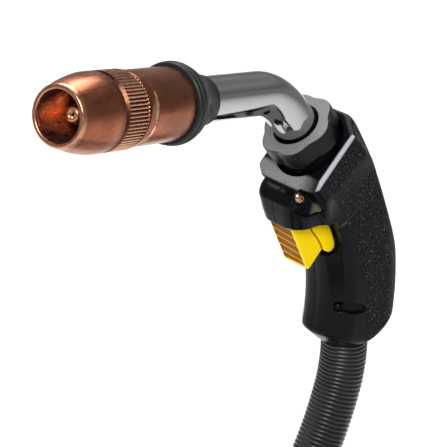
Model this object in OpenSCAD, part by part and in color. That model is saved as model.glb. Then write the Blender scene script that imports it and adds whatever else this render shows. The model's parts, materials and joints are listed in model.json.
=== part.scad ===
// MIG welding torch: gooseneck and nozzle, two-shell handle with a trigger, and a
// coiled power cable that ends in a central connector. Millimetres, +Z up.
// The origin is the middle of the grip; the nozzle points towards -X.

/* [Neck] */
// Outside diameter of the steel neck tube
neck_od = 19.7; // [19:0.1:20]
// Angle of the gooseneck bend
neck_bend = 42; // [35:1:50]
// Centreline radius of the bend
bend_r = 40; // [36:1:60]
// Straight tube between the lock nut and the bend
riser = 7.5; // [5:0.5:20]
// Straight tube between the bend and the rubber boot
reach = 43.5; // [40:0.5:70]
// Turn of the neck about its own axis, away from straight ahead
swivel = 24.5; // [-30:0.5:30]
// Length of the rubber boot
boot_len = 25; // [22:1:30]

/* [Nozzle] */
// Length of the nozzle
nozzle_len = 72; // [70:1:80]
// Largest diameter of the nozzle
nozzle_d = 32; // [31.8:0.1:33]
// Outside diameter at the front lip
lip_d = 24.4; // [24:0.1:26]
// Diameter of the mouth
mouth_d = 19.8; // [19:0.1:20]
// Distance from the front lip to the knurled band
knurl_at = 24.5; // [24:0.5:26]
// Length of the knurled band
knurl_len = 14; // [12:1:15]
// How far the contact tip sits behind the mouth
tip_recess = 9; // [6:0.5:12]
// Diameter of the hole for the welding wire
wire_hole_d = 1.4; // [1:0.1:1.8]

/* [Handle] */
// Lean of the neck's axis at the top of the handle
lean = 36; // [34:1:38]
// Straight top of the handle, before the grip bends
grip_straight = 22.5; // [22:0.5:24]
// Radius of the grip's curve
grip_r = 117; // [115:1:120]
// Place of the origin along the grip's curve, as an angle
grip_at = 13; // [12:0.5:14]
// Depth of the grip in front of its middle line
grip_front = 21.7; // [21:0.1:22.5]
// Depth of the grip behind its middle line
grip_back = 22.7; // [22:0.1:23.5]
// Half of the grip's width
grip_half = 15.5; // [15:0.1:16.5]
// Corner radius of the grip's section
grip_round = 13; // [10:0.5:14]
// Thickness of the shells' walls
wall = 2.8; // [2.4:0.1:3]
// Height of the handle's lower end
handle_end_z = -55; // [-56:0.5:-54]

/* [Trigger] */
// Width of the trigger's finger face
trigger_w = 15; // [14:0.5:16]
// Width across the trigger's ears
ear_w = 17.6; // [17:0.2:18]

/* [Cable] */
// Diameter of the power cable
cable_d = 17.5; // [17:0.1:17.6]
// Outside diameter of the ribbed sleeve at the handle
sleeve_d = 22.5; // [22:0.1:22.8]

/* [Connector] */
// Diameter of the connector's body
plug_d = 36; // [35:0.5:37]
// Diameter of the connector's ring nut
ring_d = 44; // [43:0.5:45]
// Diameter of the gas and wire pin
pin_d = 10; // [9.8:0.1:10]

/* [Hidden] */
$fn = 64;

// Centre of the grip's curve, and the neck joint: the middle of the lock nut's top face
arc_x = -grip_r * cos(grip_at);
arc_z = -grip_r * sin(grip_at);
neck_x = arc_x + grip_r * cos(lean) - grip_straight * sin(lean);
neck_z = arc_z + grip_r * sin(lean) + grip_straight * cos(lean);

// Stations along the gun's axis, from the end of the bend
nozzle_z = reach + boot_len;
lip_z = nozzle_z + nozzle_len;

// Radii of the parts that nest inside the neck
tube_r = neck_od / 2;
insulation_r = tube_r - 1.3;
conductor_r = 6.5;
liner_r = 2.3;
block_top = -9.5;
socket_z = -50;
block_end = -56;
grub_z = -38.8;
block_r = 11.3;
spigot_r = 12.3;

// The neck's straight end laps into the bend, a touch thinner on each face
joint_lap = 0.5;
joint_step = 0.02;

// The lock nut and the collar round it
nut_r = 17.6;
nut_len = 24;
collar_bore = 17.2;
bore_end = -26;
rim_z = -14;
collar_half = 20.6;
collar_low = -46;

// Plan of half the collar: where its walls end, then where the bevelled rim ends, and
// the height and slope of each of those edges
collar_foot = [[-21.2, 15.5], [-17.2, collar_half], [11.5, collar_half], [20.5, 8]];
collar_top = [[-17.4, 12.5], [-14.4, 18.6], [10.6, 18.6], [19, 7.4]];
foot_z = -15.6;
foot_slope = 0.15;
top_z = -13.9;
top_slope = 0.1;

// The hood over the trigger, and the bay behind it
// Levels of the hood: height, front and half width
hood_low = 14.5;
hood_levels = [[hood_low, -43, 13.2], [20, -44.4, 14.2], [27, -45.8, 15], [38, -45.8, 15]];
bay_front = -42.2;
bay_half = 9.4;
bay_back = -12;
pivot = [-27, 21];
pin_r = 2;

// Top of the solid cuff that holds the cable clamp
cuff_top = -44;

// Handle screws: place on the side, depth of the head's seat and the head's radius
screw_at = [[-38.5, 29.9, 9, 2.9], [-13.8, -31.5, 9.8, 1.9]];
screw_r = 1.5;
boss_r = 4;
handle_nut_r = 3.2;
handle_nut_y = 4.5;
handle_nut_h = 2.4;

// Switch plunger
plunger_z = 1;
switch_face = -11.5;

// Route of the cable from the handle to the coil, and from the coil to the connector
drop_route = [
  [0.8, 0, -43.6], [0.7, 0, -55], [0.2, 0, -66], [-2, 0, -78], [-6, 0, -90],
  [-11, 0, -102], [-17, 0, -114], [-23.5, 0, -126.5], [-31, 0, -139],
  [-40.5, 0, -151.5], [-51, 0, -162.5], [-62, 0, -173], [-74, 0, -182],
  [-86.5, 0, -190], [-100, 0, -197], [-114, 0, -202.8], [-129, 0, -207.5],
  [-144, 0, -211], [-159, 0, -212.8], [-174, 0, -213.2]
];
tail_route = [
  [-105, -184, -195.7], [-96, -175, -196], [-86, -165, -196.8], [-76, -155, -198],
  [-66, -145, -199.2], [-56, -135, -199.9], [-46, -125, -200]
];

// The surface that the cable rests on, and the coil's outermost turn
floor_z = -222;
coil_r = 115;
coil_x = -174;
coil_y = -coil_r;

// The connector lies on the surface, with its axis at 45 degrees to X
plug_at = [-46, -125, -200];
plug_turn = 45;
plug_sleeve_len = 42;
shell_len = 56;
ring_len = 30;
screw_off = 13;
pin_face = plug_sleeve_len + shell_len + 21.8;
seal_at = 12.4;

// ---- Helpers ---------------------------------------------------------------

// Points of a rectangle with round corners
function round_box(x0, x1, half, r, n = 6) =
  let (corners = [[x1 - r, half - r, 0], [x0 + r, half - r, 90],
                  [x0 + r, r - half, 180], [x1 - r, r - half, 270]])
  [for (c = corners, i = [0:n]) [c[0] + r * cos(c[2] + 90 * i / n), c[1] + r * sin(c[2] + 90 * i / n)]];

// An outline and its mirror image in Y, as one closed outline
function both_sides(points) =
  let (n = len(points)) concat(points, [for (i = [1:n]) [points[n - i][0], -points[n - i][1]]]);

module tube(r_out, r_in, h) {
  difference() {
    cylinder(h = h, r = r_out);
    translate([0, 0, -1]) cylinder(h = h + 2, r = r_in);
  }
}

// A side outline in X and Z, given thickness along Y
module side_plate(points, half) {
  rotate([90, 0, 0]) linear_extrude(height = 2 * half, center = true) polygon(points);
}

// Frames: +Z up the neck's axis; then turned with the gooseneck; then along the gun
module on_neck() {
  translate([neck_x, 0, neck_z]) rotate([0, -lean, 0]) children();
}
module on_gooseneck() {
  on_neck() rotate([0, 0, swivel]) children();
}
module on_gun() {
  on_gooseneck()
    translate([-bend_r * (1 - cos(neck_bend)), 0, riser + bend_r * sin(neck_bend)])
      rotate([0, -neck_bend, 0]) children();
}
module on_plug() {
  translate(plug_at) rotate([0, 0, plug_turn]) rotate([0, 90, 0]) children();
}

// A pipe that follows the gooseneck from below the nut to a station on the gun's axis
module neck_pipe(r_out, r_in, below, ahead) {
  on_gooseneck() {
    translate([0, 0, -below]) tube(r_out, r_in, below + riser);
    translate([-bend_r, 0, riser]) rotate([90, 0, 0])
      rotate_extrude(angle = neck_bend, $fn = 96) translate([bend_r, 0]) difference() {
        circle(r_out);
        circle(r_in);
      }
  }
  on_gun() translate([0, 0, -joint_lap]) tube(r_out - joint_step, r_in + joint_step, ahead + joint_lap);
}

// The grip's curve: children are a flat section at the curve's radius
module along_grip(from, to) {
  translate([arc_x, 0, arc_z]) rotate([90, 0, 0]) rotate([0, 0, from])
    rotate_extrude(angle = to - from, $fn = 144) children();
}

// Directions and rings for a swept tube
function unit(v) = v / norm(v);
function heading(route, i) =
  unit(route[min(i + 1, len(route) - 1)] - route[max(i - 1, 0)]);
function ring(p, dir, r, sides) =
  let (side = unit(cross(dir, abs(dir[2]) > 0.9 ? [0, 1, 0] : [0, 0, 1])), up = cross(dir, side))
  [for (k = [0:sides - 1]) p + r * (cos(360 * k / sides) * side + sin(360 * k / sides) * up)];
function drop_ring(p, dir, r, sides) =
  [for (k = [0:sides - 1]) p + r * (cos(360 * k / sides) * [dir[2], 0, -dir[0]] + sin(360 * k / sides) * [0, 1, 0])];

module swept(rings) {
  n = len(rings);
  m = len(rings[0]);
  polyhedron(
    points = [for (r = rings, p = r) p],
    faces = concat(
      [[for (k = [0:m - 1]) k]],
      [for (i = [0:n - 2], k = [0:m - 1]) [i * m + k, (i + 1) * m + k, (i + 1) * m + (k + 1) % m]],
      [for (i = [0:n - 2], k = [0:m - 1]) [i * m + k, (i + 1) * m + (k + 1) % m, i * m + (k + 1) % m]],
      [[for (k = [m - 1:-1:0]) (n - 1) * m + k]]
    )
  );
}

// ---- Nozzle and gas end ------------------------------------------------------

// The nozzle's outer outline: a tangent arc runs from the lip back to full diameter
module nozzle() {
  ogive_len = knurl_at - 4;
  ogive_drop = (nozzle_d - lip_d) / 2;
  ogive_r = (ogive_len * ogive_len + ogive_drop * ogive_drop) / (2 * ogive_drop);
  full = nozzle_d / 2;
  rear = full - 1;
  rear_bore = 12.9;
  front_bore = 11.6;
  band_end = knurl_at + knurl_len;
  color([0.72, 0.4, 0.28]) on_gun() translate([0, 0, lip_z]) difference() {
    rotate_extrude($fn = 96) polygon(concat(
      [[mouth_d / 2, -1.2], [mouth_d / 2 + 0.7, 0], [lip_d / 2 - 0.9, 0]],
      [for (i = [0:8]) let (back = ogive_len * i / 8)
        [full - ogive_r + sqrt(ogive_r * ogive_r - pow(ogive_len - back, 2)), -1 - back]],
      [[full - 0.2, 1.2 - knurl_at], [full - 1.3, 0.9 - knurl_at], [full - 1.3, 0.4 - knurl_at],
       [full, -knurl_at], [full, -band_end], [full - 1.2, -band_end - 0.4],
       [full - 1.2, -band_end - 1.2], [rear, -band_end - 1.6], [rear, -band_end - 5],
       [rear - 0.5, -band_end - 5.4], [rear - 0.5, -band_end - 6.2], [rear, -band_end - 6.6],
       [rear, 0.8 - nozzle_len], [rear - 0.6, 0.2 - nozzle_len], [rear_bore, 0.2 - nozzle_len],
       [rear_bore, -36], [front_bore, -34], [front_bore, -14]]
    ));
    for (a = [0:9:351]) rotate([0, 0, a]) translate([full + 0.25, 0, -band_end - 1])
      cylinder(h = knurl_len + 2, r = 0.75, $fn = 16);
  }
}

module nozzle_sleeve() {
  color([0.8, 0.62, 0.28]) on_gun() translate([0, 0, nozzle_z + 2]) tube(12.85, 11.4, 20);
}

module nozzle_insulator() {
  color([0.15, 0.13, 0.12]) on_gun() translate([0, 0, nozzle_z + 0.6]) tube(11.05, tube_r, 21);
}

module gas_diffuser() {
  seat = lip_z - 50;
  hole_r = 1;
  color([0.82, 0.66, 0.32]) on_gun() difference() {
    translate([0, 0, seat]) rotate_extrude() polygon([
      [0, 0], [8.6, 0], [8.6, 9.5], [7.5, 12.5], [7.5, 21], [6.7, 22], [0, 22]
    ]);
    translate([0, 0, seat - 1]) cylinder(h = 7.5, r = conductor_r + 0.1);
    translate([0, 0, seat]) cylinder(h = 30, r = liner_r + 0.2);
    translate([0, 0, seat + 12]) cylinder(h = 11, r = 3.1);
    for (a = [0:60:300]) rotate([0, 0, a]) translate([0, 0, seat + 9])
      rotate([0, 90, 0]) cylinder(h = 12, r = hole_r, $fn = 24);
  }
}

module contact_tip() {
  front = lip_z - tip_recess;
  shoulder = lip_z - 27.8;
  color([0.75, 0.43, 0.3]) on_gun() difference() {
    translate([0, 0, shoulder - 9]) rotate_extrude() polygon([
      [0, 0], [2.6, 0], [3.05, 0.5], [3.05, 9], [4, 9], [4, 22], [3.4, front - shoulder + 8.4],
      [2.8, front - shoulder + 9], [0, front - shoulder + 9]
    ]);
    translate([0, 0, shoulder - 10]) cylinder(h = 60, r = wire_hole_d / 2, $fn = 24);
  }
}

// ---- Neck ----------------------------------------------------------------------

module neck_boot() {
  rim = nozzle_d / 2 + 1.2;
  color([0.12, 0.12, 0.11]) on_gun() translate([0, 0, reach]) difference() {
    rotate_extrude() polygon(concat(
      [[0, 0], [tube_r + 0.4, 0], [tube_r + 0.9, 0.6]],
      [for (i = [0:7]) [tube_r + 0.9 + 5.3 * (1 - cos(12 * i)) / (1 - cos(84)), 2 + 2.1 * i]],
      [[rim - 0.6, boot_len - 6], [rim, boot_len - 5], [rim, boot_len - 1.3],
       [rim - 0.6, boot_len - 0.5], [0, boot_len - 0.5]]
    ));
    translate([0, 0, -1]) cylinder(h = boot_len + 2, r = tube_r);
  }
}

module neck_tube() {
  color([0.7, 0.7, 0.72]) neck_pipe(tube_r, insulation_r + 0.1, -socket_z - 0.5, lip_z - 50.5);
}

module neck_insulation() {
  color([0.85, 0.84, 0.8]) neck_pipe(insulation_r, conductor_r, 48, lip_z - 52);
}

module conductor_tube() {
  color([0.75, 0.43, 0.3]) neck_pipe(conductor_r, 3.3, -socket_z - 0.5, lip_z - 44);
}

module wire_liner() {
  color([0.5, 0.5, 0.52]) neck_pipe(liner_r, 1.2, -socket_z + 4, lip_z - 38.2);
}

// Lobed lock nut: a flange with finger flats, a serrated band and a skirt over the block
module neck_nut() {
  flange = 5;
  band = 15;
  color([0.45, 0.45, 0.44]) on_gooseneck() difference() {
    union() {
      translate([0, 0, -flange]) intersection() {
        cylinder(h = flange, r = nut_r);
        rotate([0, 0, 12]) cylinder(h = flange, r = nut_r + 1.5, $fn = 6);
      }
      translate([0, 0, -band]) cylinder(h = band - flange, r = 16.2);
      translate([0, 0, -nut_len]) cylinder(h = nut_len - band, r = 15.2);
    }
    translate([0, 0, -nut_len - 1]) cylinder(h = nut_len - 7, r = spigot_r + 0.3);
    translate([0, 0, -10]) cylinder(h = 12, r = tube_r + 0.1);
    for (a = [0:12:348]) rotate([0, 0, a]) translate([16.6, 0, -band - 1])
      cylinder(h = band - flange + 0.4, r = 0.8, $fn = 16);
  }
}

module neck_washer() {
  color([0.3, 0.3, 0.3]) on_neck() translate([0, 0, block_top]) tube(spigot_r - 0.5, tube_r + 0.3, 1);
}

// ---- Handle inner parts ------------------------------------------------------------

module connector_block() {
  color([0.8, 0.62, 0.28]) on_neck() difference() {
    union() {
      translate([0, 0, -34]) cylinder(h = 34 + block_top, r = spigot_r);
      translate([0, 0, block_end]) cylinder(h = -34 - block_end, r = block_r);
    }
    translate([0, 0, socket_z]) cylinder(h = 60, r = tube_r + 0.1);
    translate([0, 0, block_end - 1]) cylinder(h = 20, r = liner_r + 0.3);
    for (y = [-1, 1]) translate([0, 0, grub_z]) rotate([90 * y, 0, 0]) cylinder(h = 20, r = 2);
  }
}

// Grub screws that clamp the neck's socket
module block_screws() {
  color([0.25, 0.25, 0.26]) on_neck() for (y = [-1, 1]) translate([0, 0, grub_z])
    rotate([90 * y, 0, 0]) translate([0, 0, tube_r + 0.4]) difference() {
      cylinder(h = 1.4, r = 1.95);
      translate([0, 0, 0.6]) cylinder(h = 2, r = 1, $fn = 6);
    }
}

// Copper lead from the block down the back of the grip
module power_lead() {
  color([0.35, 0.2, 0.12]) along_grip(-7.4, 17.6) translate([grip_r + 4.6, 0]) circle(5.6);
}

// Two shells joined on the plane Y = 0
module handle_outside() {
  along_grip(-14, lean) polygon(round_box(grip_r - grip_front, grip_r + grip_back, grip_half, grip_round));
  on_neck() intersection() {
    union() {
      collar();
      translate([0, 0, -grip_straight - 1]) linear_extrude(height = grip_straight + 1 + rim_z - 4)
        polygon(round_box(-grip_front, grip_back, grip_half, grip_round));
    }
    rotate([90, 0, 90]) linear_extrude(height = 80, center = true) polygon([
      [-14.5, collar_low - 1], [-15.5, -40], [-collar_half, -26], [-collar_half, 0],
      [collar_half, 0], [collar_half, -26], [15.5, -40], [14.5, collar_low - 1]
    ]);
    side_plate([[-21.7, -60], [-21.7, -24], [-21.2, -19], [-21.2, 0],
                [19, 0], [20.2, -13], [22.8, -22.7], [22.8, -60]], 30);
  }
  intersection() {
    hood();
    side_plate([[-48, hood_low], [-48, 29.8], [-38, 34.2], [-20, 40], [-4, 24], [-6, hood_low]], 30);
  }
}

// Collar with its cut corners: a hull from its lower end to the bevelled, sloping rim
module collar() {
  hull() {
    translate([0, 0, collar_low]) linear_extrude(height = 1) polygon(both_sides(collar_foot));
    sloping(foot_z, foot_slope) polygon(both_sides(collar_foot));
    sloping(top_z, top_slope) polygon(both_sides(collar_top));
  }
}

module sloping(z, slope) {
  multmatrix([[1, 0, 0, 0], [0, 1, 0, 0], [slope, 0, 1, z], [0, 0, 0, 1]])
    linear_extrude(height = 0.01) children();
}

module hood() {
  hull() for (l = hood_levels) translate([0, 0, l[0]]) linear_extrude(height = 0.01)
    polygon(round_box(l[1], l[1] + 50, l[2], 8));
}

// Trims the lower end to a cone round the cable
module handle_trim() {
  translate([1, 0, handle_end_z]) cylinder(h = 200, r1 = 13.4, r2 = 213.4);
}

module handle_hollow() {
  difference() {
    union() {
      along_grip(-12, lean) polygon(round_box(grip_r - grip_front + wall, grip_r + grip_back - wall,
                                              grip_half - wall, grip_round - wall));
      on_neck() translate([0, 0, bore_end]) cylinder(h = 60, r = collar_bore);
    }
    on_neck() translate([0, 0, -44]) difference() {
      translate([0, 0, 1.5]) cube([60, 60, 3], center = true);
      translate([0, 0, -1]) cylinder(h = 6, r = block_r + 0.1);
    }
    for (s = screw_at) translate([s[0], 0, s[1]]) rotate([90, 0, 0])
      cylinder(h = 60, r = boss_r, center = true, $fn = 32);
    translate([-20, -20, -60]) cube([45, 40, 60 + cuff_top]);
  }
}

module trigger_bay() {
  side_plate([[-60, -5], [-60, hood_low], [bay_front, hood_low], [bay_front, 20], [-37.5, 25.5],
              [-30, 28], [-30, -5]], bay_half - 1.5);
  side_plate([[-31, -5], [-31, 28], [-18, 28], [bay_back, 20], [bay_back, -5]], bay_half);
}

// Pockets over the screw heads: a seat for each head and a scoop behind it
module screw_pockets() {
  for (s = screw_at) translate([s[0], -s[2], s[1]]) rotate([90, 0, 0]) cylinder(h = 20, r = s[3] + 0.5);
  side_scoop([[-43, 30.5], [-42.4, 27], [-39.5, 24.2], [-35, 22.9], [-35, 33], [-40, 33]], 10);
  side_scoop([[-35.2, 22.8], [-31, 23.4], [-28.5, 26.5], [-30, 30.5], [-35.2, 33]], 13.5);
  side_scoop([[-16, -30], [-12, -29.2], [-7, -30.5], [-3, -34.5], [-7, -35.4], [-13, -34]], 13);
}

module side_scoop(points, depth) {
  translate([0, -depth, 0]) rotate([90, 0, 0]) linear_extrude(height = 20) polygon(points);
}

module handle_shell(side) {
  difference() {
    intersection() {
      handle_outside();
      handle_trim();
      translate([-100, side > 0 ? 0 : -50, -100]) cube([200, 50, 200]);
    }
    handle_hollow();
    trigger_bay();
    translate([pivot[0], 0, pivot[1]]) rotate([90, 0, 0]) cylinder(h = 26.4, r = pin_r + 0.05, center = true);
    translate([0.8, 0, -70]) cylinder(h = 71 + cuff_top, r = sleeve_d / 2 + 0.4);
    for (s = screw_at) translate([s[0], handle_nut_y + handle_nut_h + 1, s[1]]) rotate([90, 0, 0])
      cylinder(h = 40, r = screw_r + 0.2, $fn = 32);
    if (side < 0) screw_pockets();
    if (side > 0) for (s = screw_at) translate([s[0], -1, s[1]]) rotate([-90, 30, 0])
      cylinder(h = handle_nut_y + handle_nut_h + 1.1, r = handle_nut_r + 0.1, $fn = 6);
  }
}

module handle_left() {
  color([0.13, 0.13, 0.14]) handle_shell(-1);
}

module handle_right() {
  color([0.13, 0.13, 0.14]) handle_shell(1);
}

module handle_screws() {
  color([0.75, 0.6, 0.4]) for (s = screw_at) translate([s[0], -s[2], s[1]]) {
    rotate([90, 0, 0]) difference() {
      rotate_extrude($fn = 48) polygon([[0, 0], [s[3], 0], [s[3], 1], [0.72 * s[3], 2], [0, 2.3]]);
      for (a = [0, 90]) rotate([0, 0, a]) translate([-0.4, -0.6 * s[3], 1]) cube([0.8, 1.2 * s[3], 3]);
    }
    rotate([-90, 0, 0]) cylinder(h = s[2] + handle_nut_y + handle_nut_h + 0.3, r = screw_r);
  }
}

module handle_nuts() {
  color([0.8, 0.62, 0.28]) for (s = screw_at) translate([s[0], handle_nut_y, s[1]]) rotate([-90, 30, 0])
    difference() {
      cylinder(h = handle_nut_h, r = handle_nut_r, $fn = 6);
      translate([0, 0, -1]) cylinder(h = handle_nut_h + 2, r = screw_r + 0.02);
    }
}

// ---- Trigger and switch ----------------------------------------------------------------

module trigger() {
  color([0.98, 0.8, 0.05]) difference() {
    union() {
      side_plate([[-41.8, 17], [-41.5, 15.2], [-31.6, -7.6], [-30.6, -8.6], [-29.4, -8.6],
                  [-21.3, -0.6], [-19, 5], [-20, 14], [-22, 24], [-31, 25], [-38, 20]], trigger_w / 2);
      side_plate([[-21.4, -1.2], [-19.2, -3], [-17.2, -2.6], [-16.2, -1], [-18.5, 6],
                  [-21.5, 12], [-26, 13], [-22.4, 5]], ear_w / 2);
    }
    translate([pivot[0], 0, pivot[1]]) rotate([90, 0, 0]) cylinder(h = 40, r = pin_r + 0.06, center = true);
    for (i = [1:4]) let (t = i / 5 - 0.02) translate([-41.5 + 9.9 * t, 0, 15.2 - 22.8 * t]) rotate([90, 0, 0])
      cylinder(h = trigger_w - 3, r = 0.9, center = true, $fn = 24);
    translate([-21, 0, plunger_z]) rotate([0, 90, 0]) cylinder(h = 10, r = 3.3);
  }
}

module trigger_pin() {
  color([0.7, 0.7, 0.72]) translate([pivot[0], 0, pivot[1]]) rotate([90, 0, 0])
    cylinder(h = 26, r = pin_r, center = true);
}

// Helical return spring round the plunger
module trigger_spring() {
  turns = 5;
  steps = 12;
  wire_r = 0.3;
  mean_r = 2.4;
  x0 = -20.5;
  x1 = switch_face - 0.5;
  path = [for (i = [0:turns * steps])
    [x0 + (x1 - x0) * i / (turns * steps), mean_r * cos(360 * i / steps), plunger_z + mean_r * sin(360 * i / steps)]];
  color([0.6, 0.6, 0.62]) swept([for (i = [0:len(path) - 1])
    let (dir = heading(path, i), out = unit([0, path[i][1], path[i][2] - plunger_z]), side = cross(dir, out))
    [for (k = [0:5]) path[i] + wire_r * (cos(60 * k) * out + sin(60 * k) * side)]]);
}

module switch_body() {
  color([0.1, 0.1, 0.1]) difference() {
    translate([switch_face, -5, -6]) cube([8.4, 10, 12.5]);
    translate([switch_face - 1, 0, plunger_z]) rotate([0, 90, 0]) cylinder(h = 7.5, r = 1.45);
  }
}

module switch_plunger() {
  color([0.85, 0.85, 0.82]) translate([-20.7, 0, plunger_z]) rotate([0, 90, 0])
    cylinder(h = 12.5, r = 1.4);
}

module switch_wires() {
  color([0.6, 0.1, 0.1]) for (y = [-2.4, 2.4]) along_grip(-8.2, 9.2)
    translate([grip_r - 9.5, y]) circle(0.9, $fn = 24);
}

// ---- Cable --------------------------------------------------------------------------------

module cable_clamp() {
  color([0.2, 0.2, 0.21]) translate([0.8, 0, -49.6]) difference() {
    cylinder(h = 4.5, r = 11.4);
    translate([0, 0, -1]) cylinder(h = 7, r = cable_d / 2 + 0.15);
  }
}

// Route of the sleeve: the first stretch of the drop below the clamp
sleeve_route = [[0.75, 0, -49.9], for (i = [1:12]) drop_route[i]];

module cable_sleeve() {
  last = len(sleeve_route) - 1;
  color([0.1, 0.1, 0.1]) difference() {
    swept([for (i = [0:last]) let (dir = heading(sleeve_route, i))
      drop_ring(sleeve_route[i], dir, sleeve_d / 2, 12)]);
    swept([for (i = [0:last]) let (dir = heading(sleeve_route, i))
      drop_ring(sleeve_route[i] + (i == 0 ? [0, 0, 1] : i == last ? dir : [0, 0, 0]), dir, cable_d / 2 + 0.45, 12)]);
  }
}

module cable_drop() {
  color([0.12, 0.12, 0.12]) swept([for (i = [0:len(drop_route) - 1])
    drop_ring(drop_route[i], heading(drop_route, i), cable_d / 2, 12)]);
}

// Three turns below, and one and a half on top of the inner two
module cable_coil() {
  r = cable_d / 2;
  outer = coil_r + r;
  inner = coil_r - 2 * cable_d - r;
  color([0.12, 0.12, 0.12]) translate([coil_x, coil_y, floor_z]) rotate_extrude($fn = 96) polygon([
    [inner + 2.5, 0], [outer - 2.5, 0], [outer, 2.5], [outer, cable_d - 2.5],
    [outer - cable_d + 3, 2 * cable_d - 3], [outer - cable_d, 2 * cable_d],
    [inner + 2.5, 2 * cable_d], [inner, 2 * cable_d - 2.5], [inner, 2.5]
  ]);
}

module cable_tail() {
  color([0.12, 0.12, 0.12]) swept([for (i = [0:len(tail_route) - 1])
    ring(tail_route[i], heading(tail_route, i), cable_d / 2, 12)]);
}

// Straps that hold the coil's turns together
module coil_ties() {
  mid = coil_r - cable_d;
  high = 2 * cable_d + 1.9;
  deep = 3 * cable_d + 3;
  color([0.2, 0.2, 0.22]) for (a = [150, 250]) translate([coil_x, coil_y, floor_z]) rotate([0, 0, a])
    translate([mid - deep / 2, -7, 0]) difference() {
      cube([deep, 14, high]);
      translate([1.2, -1, -1]) cube([deep - 2.4, 16, high - 0.5]);
    }
}

// ---- Connector ------------------------------------------------------------------------------

module plug_sleeve() {
  bore = cable_d / 2 + 0.1;
  color([0.1, 0.1, 0.1]) on_plug() difference() {
    cylinder(h = plug_sleeve_len, r1 = 10.6, r2 = 13.5);
    translate([0, 0, -1]) cylinder(h = plug_sleeve_len + 2, r = bore);
    for (i = [0:5]) translate([0, 0, 4 + 5.5 * i]) difference() {
      cylinder(h = 2, r = 20);
      translate([0, 0, -1]) cylinder(h = 4, r = 10.1 + 0.35 * i);
    }
  }
}

module plug_shell(side) {
  on_plug() difference() {
    translate([0, 0, plug_sleeve_len + 0.2]) intersection() {
      rotate_extrude() polygon([[0, 0], [15, 0], [17, 3], [plug_d / 2, 12], [plug_d / 2, shell_len - 0.6],
                                [plug_d / 2 - 0.6, shell_len], [0, shell_len]]);
      translate([-30, side > 0 ? 0 : -30, -1]) cube([60, 30, shell_len + 2]);
    }
    translate([0, 0, plug_sleeve_len - 1]) cylinder(h = shell_len + 5, r = plug_d / 2 - 2.6);
    for (z = [12, 38]) translate([-screw_off, 0, plug_sleeve_len + z]) rotate([90, 0, 0]) {
      cylinder(h = 60, r = 1.6, center = true, $fn = 32);
      translate([0, 0, 12.5]) cylinder(h = 20, r = 3, $fn = 48);
    }
  }
}

module plug_shell_left() {
  color([0.14, 0.14, 0.15]) plug_shell(-1);
}

module plug_shell_right() {
  color([0.14, 0.14, 0.15]) plug_shell(1);
}

module plug_screws() {
  color([0.6, 0.6, 0.62]) on_plug() for (z = [12, 38]) translate([-screw_off, -11, plug_sleeve_len + z])
    rotate([-90, 0, 0]) rotate_extrude($fn = 48)
      polygon([[0, -3.2], [2.2, -3.2], [2.8, -2.6], [2.8, -1.6], [1.5, -1.6], [1.5, 22], [0, 22]]);
}

// Knurled ring nut that draws the connector home
module plug_ring() {
  start = plug_sleeve_len + shell_len + 0.6;
  color([0.16, 0.16, 0.17]) on_plug() translate([0, 0, start]) difference() {
    rotate_extrude() polygon([[0, 0], [ring_d / 2 - 1, 0], [ring_d / 2, 1], [ring_d / 2, ring_len - 1.5],
                              [ring_d / 2 - 1.5, ring_len], [0, ring_len]]);
    translate([0, 0, 4]) cylinder(h = ring_len, r = 18.5);
    translate([0, 0, -1]) cylinder(h = 10, r = 14.3);
    for (a = [0:30:330]) rotate([0, 0, a]) translate([ring_d / 2 + 3.2, 0, 3])
      cylinder(h = ring_len + 2, r = 4.6, $fn = 32);
  }
}

module plug_body() {
  color([0.82, 0.66, 0.32]) on_plug() translate([0, 0, plug_sleeve_len]) difference() {
    union() {
      translate([0, 0, 8]) cylinder(h = 42, r = 11);
      translate([0, 0, 48]) cylinder(h = shell_len - 48 + 6.5, r = 14);
      translate([0, 0, shell_len + 5.2]) cylinder(h = 13.8, r = 17);
    }
    translate([0, 0, 6]) cylinder(h = 20, r = cable_d / 2 + 0.2);
    translate([0, 0, 6]) cylinder(h = 80, r = pin_d / 2 - 0.45);
    for (y = [-1, 1]) translate([-11, 6.5 * y, shell_len + 8]) cylinder(h = 20, r = 1.6, $fn = 32);
  }
}

// Steel pin that carries the gas and the wire
module plug_pin() {
  r = pin_d / 2;
  neck_r = r - 0.5;
  groove = r - 1.2;
  color([0.78, 0.68, 0.4]) on_plug() translate([0, 0, pin_face]) difference() {
    rotate_extrude() polygon([
      [0, -50], [neck_r, -50], [neck_r, 0], [r, 0], [r, seal_at], [groove, seal_at],
      [groove, seal_at + 1.6], [r, seal_at + 1.6], [r, 18.2], [r - 0.8, 19], [0, 19]
    ]);
    translate([0, 0, -60]) cylinder(h = 90, r = 2.2);
  }
}

module plug_insulator() {
  start = plug_sleeve_len + shell_len + 19.1;
  color([0.1, 0.1, 0.1]) on_plug() translate([0, 0, start]) difference() {
    cylinder(h = 2.6, r = 16.5);
    translate([0, 0, -1]) cylinder(h = 5, r = pin_d / 2 - 0.4);
    for (y = [-1, 1]) translate([-11, 6.5 * y, -1]) cylinder(h = 20, r = 1.6, $fn = 32);
  }
}

module plug_contacts() {
  color([0.85, 0.7, 0.35]) on_plug() for (y = [-1, 1])
    translate([-11, 6.5 * y, plug_sleeve_len + shell_len + 9]) cylinder(h = 18, r = 1.5, $fn = 32);
}

// O-ring in the pin's groove
module plug_seal() {
  color([0.08, 0.08, 0.08]) on_plug() translate([0, 0, pin_face + seal_at + 0.8])
    rotate_extrude() translate([pin_d / 2 - 0.6, 0]) circle(0.57, $fn = 24);
}

// ---- Assembly ---------------------------------------------------------------------------------

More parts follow.
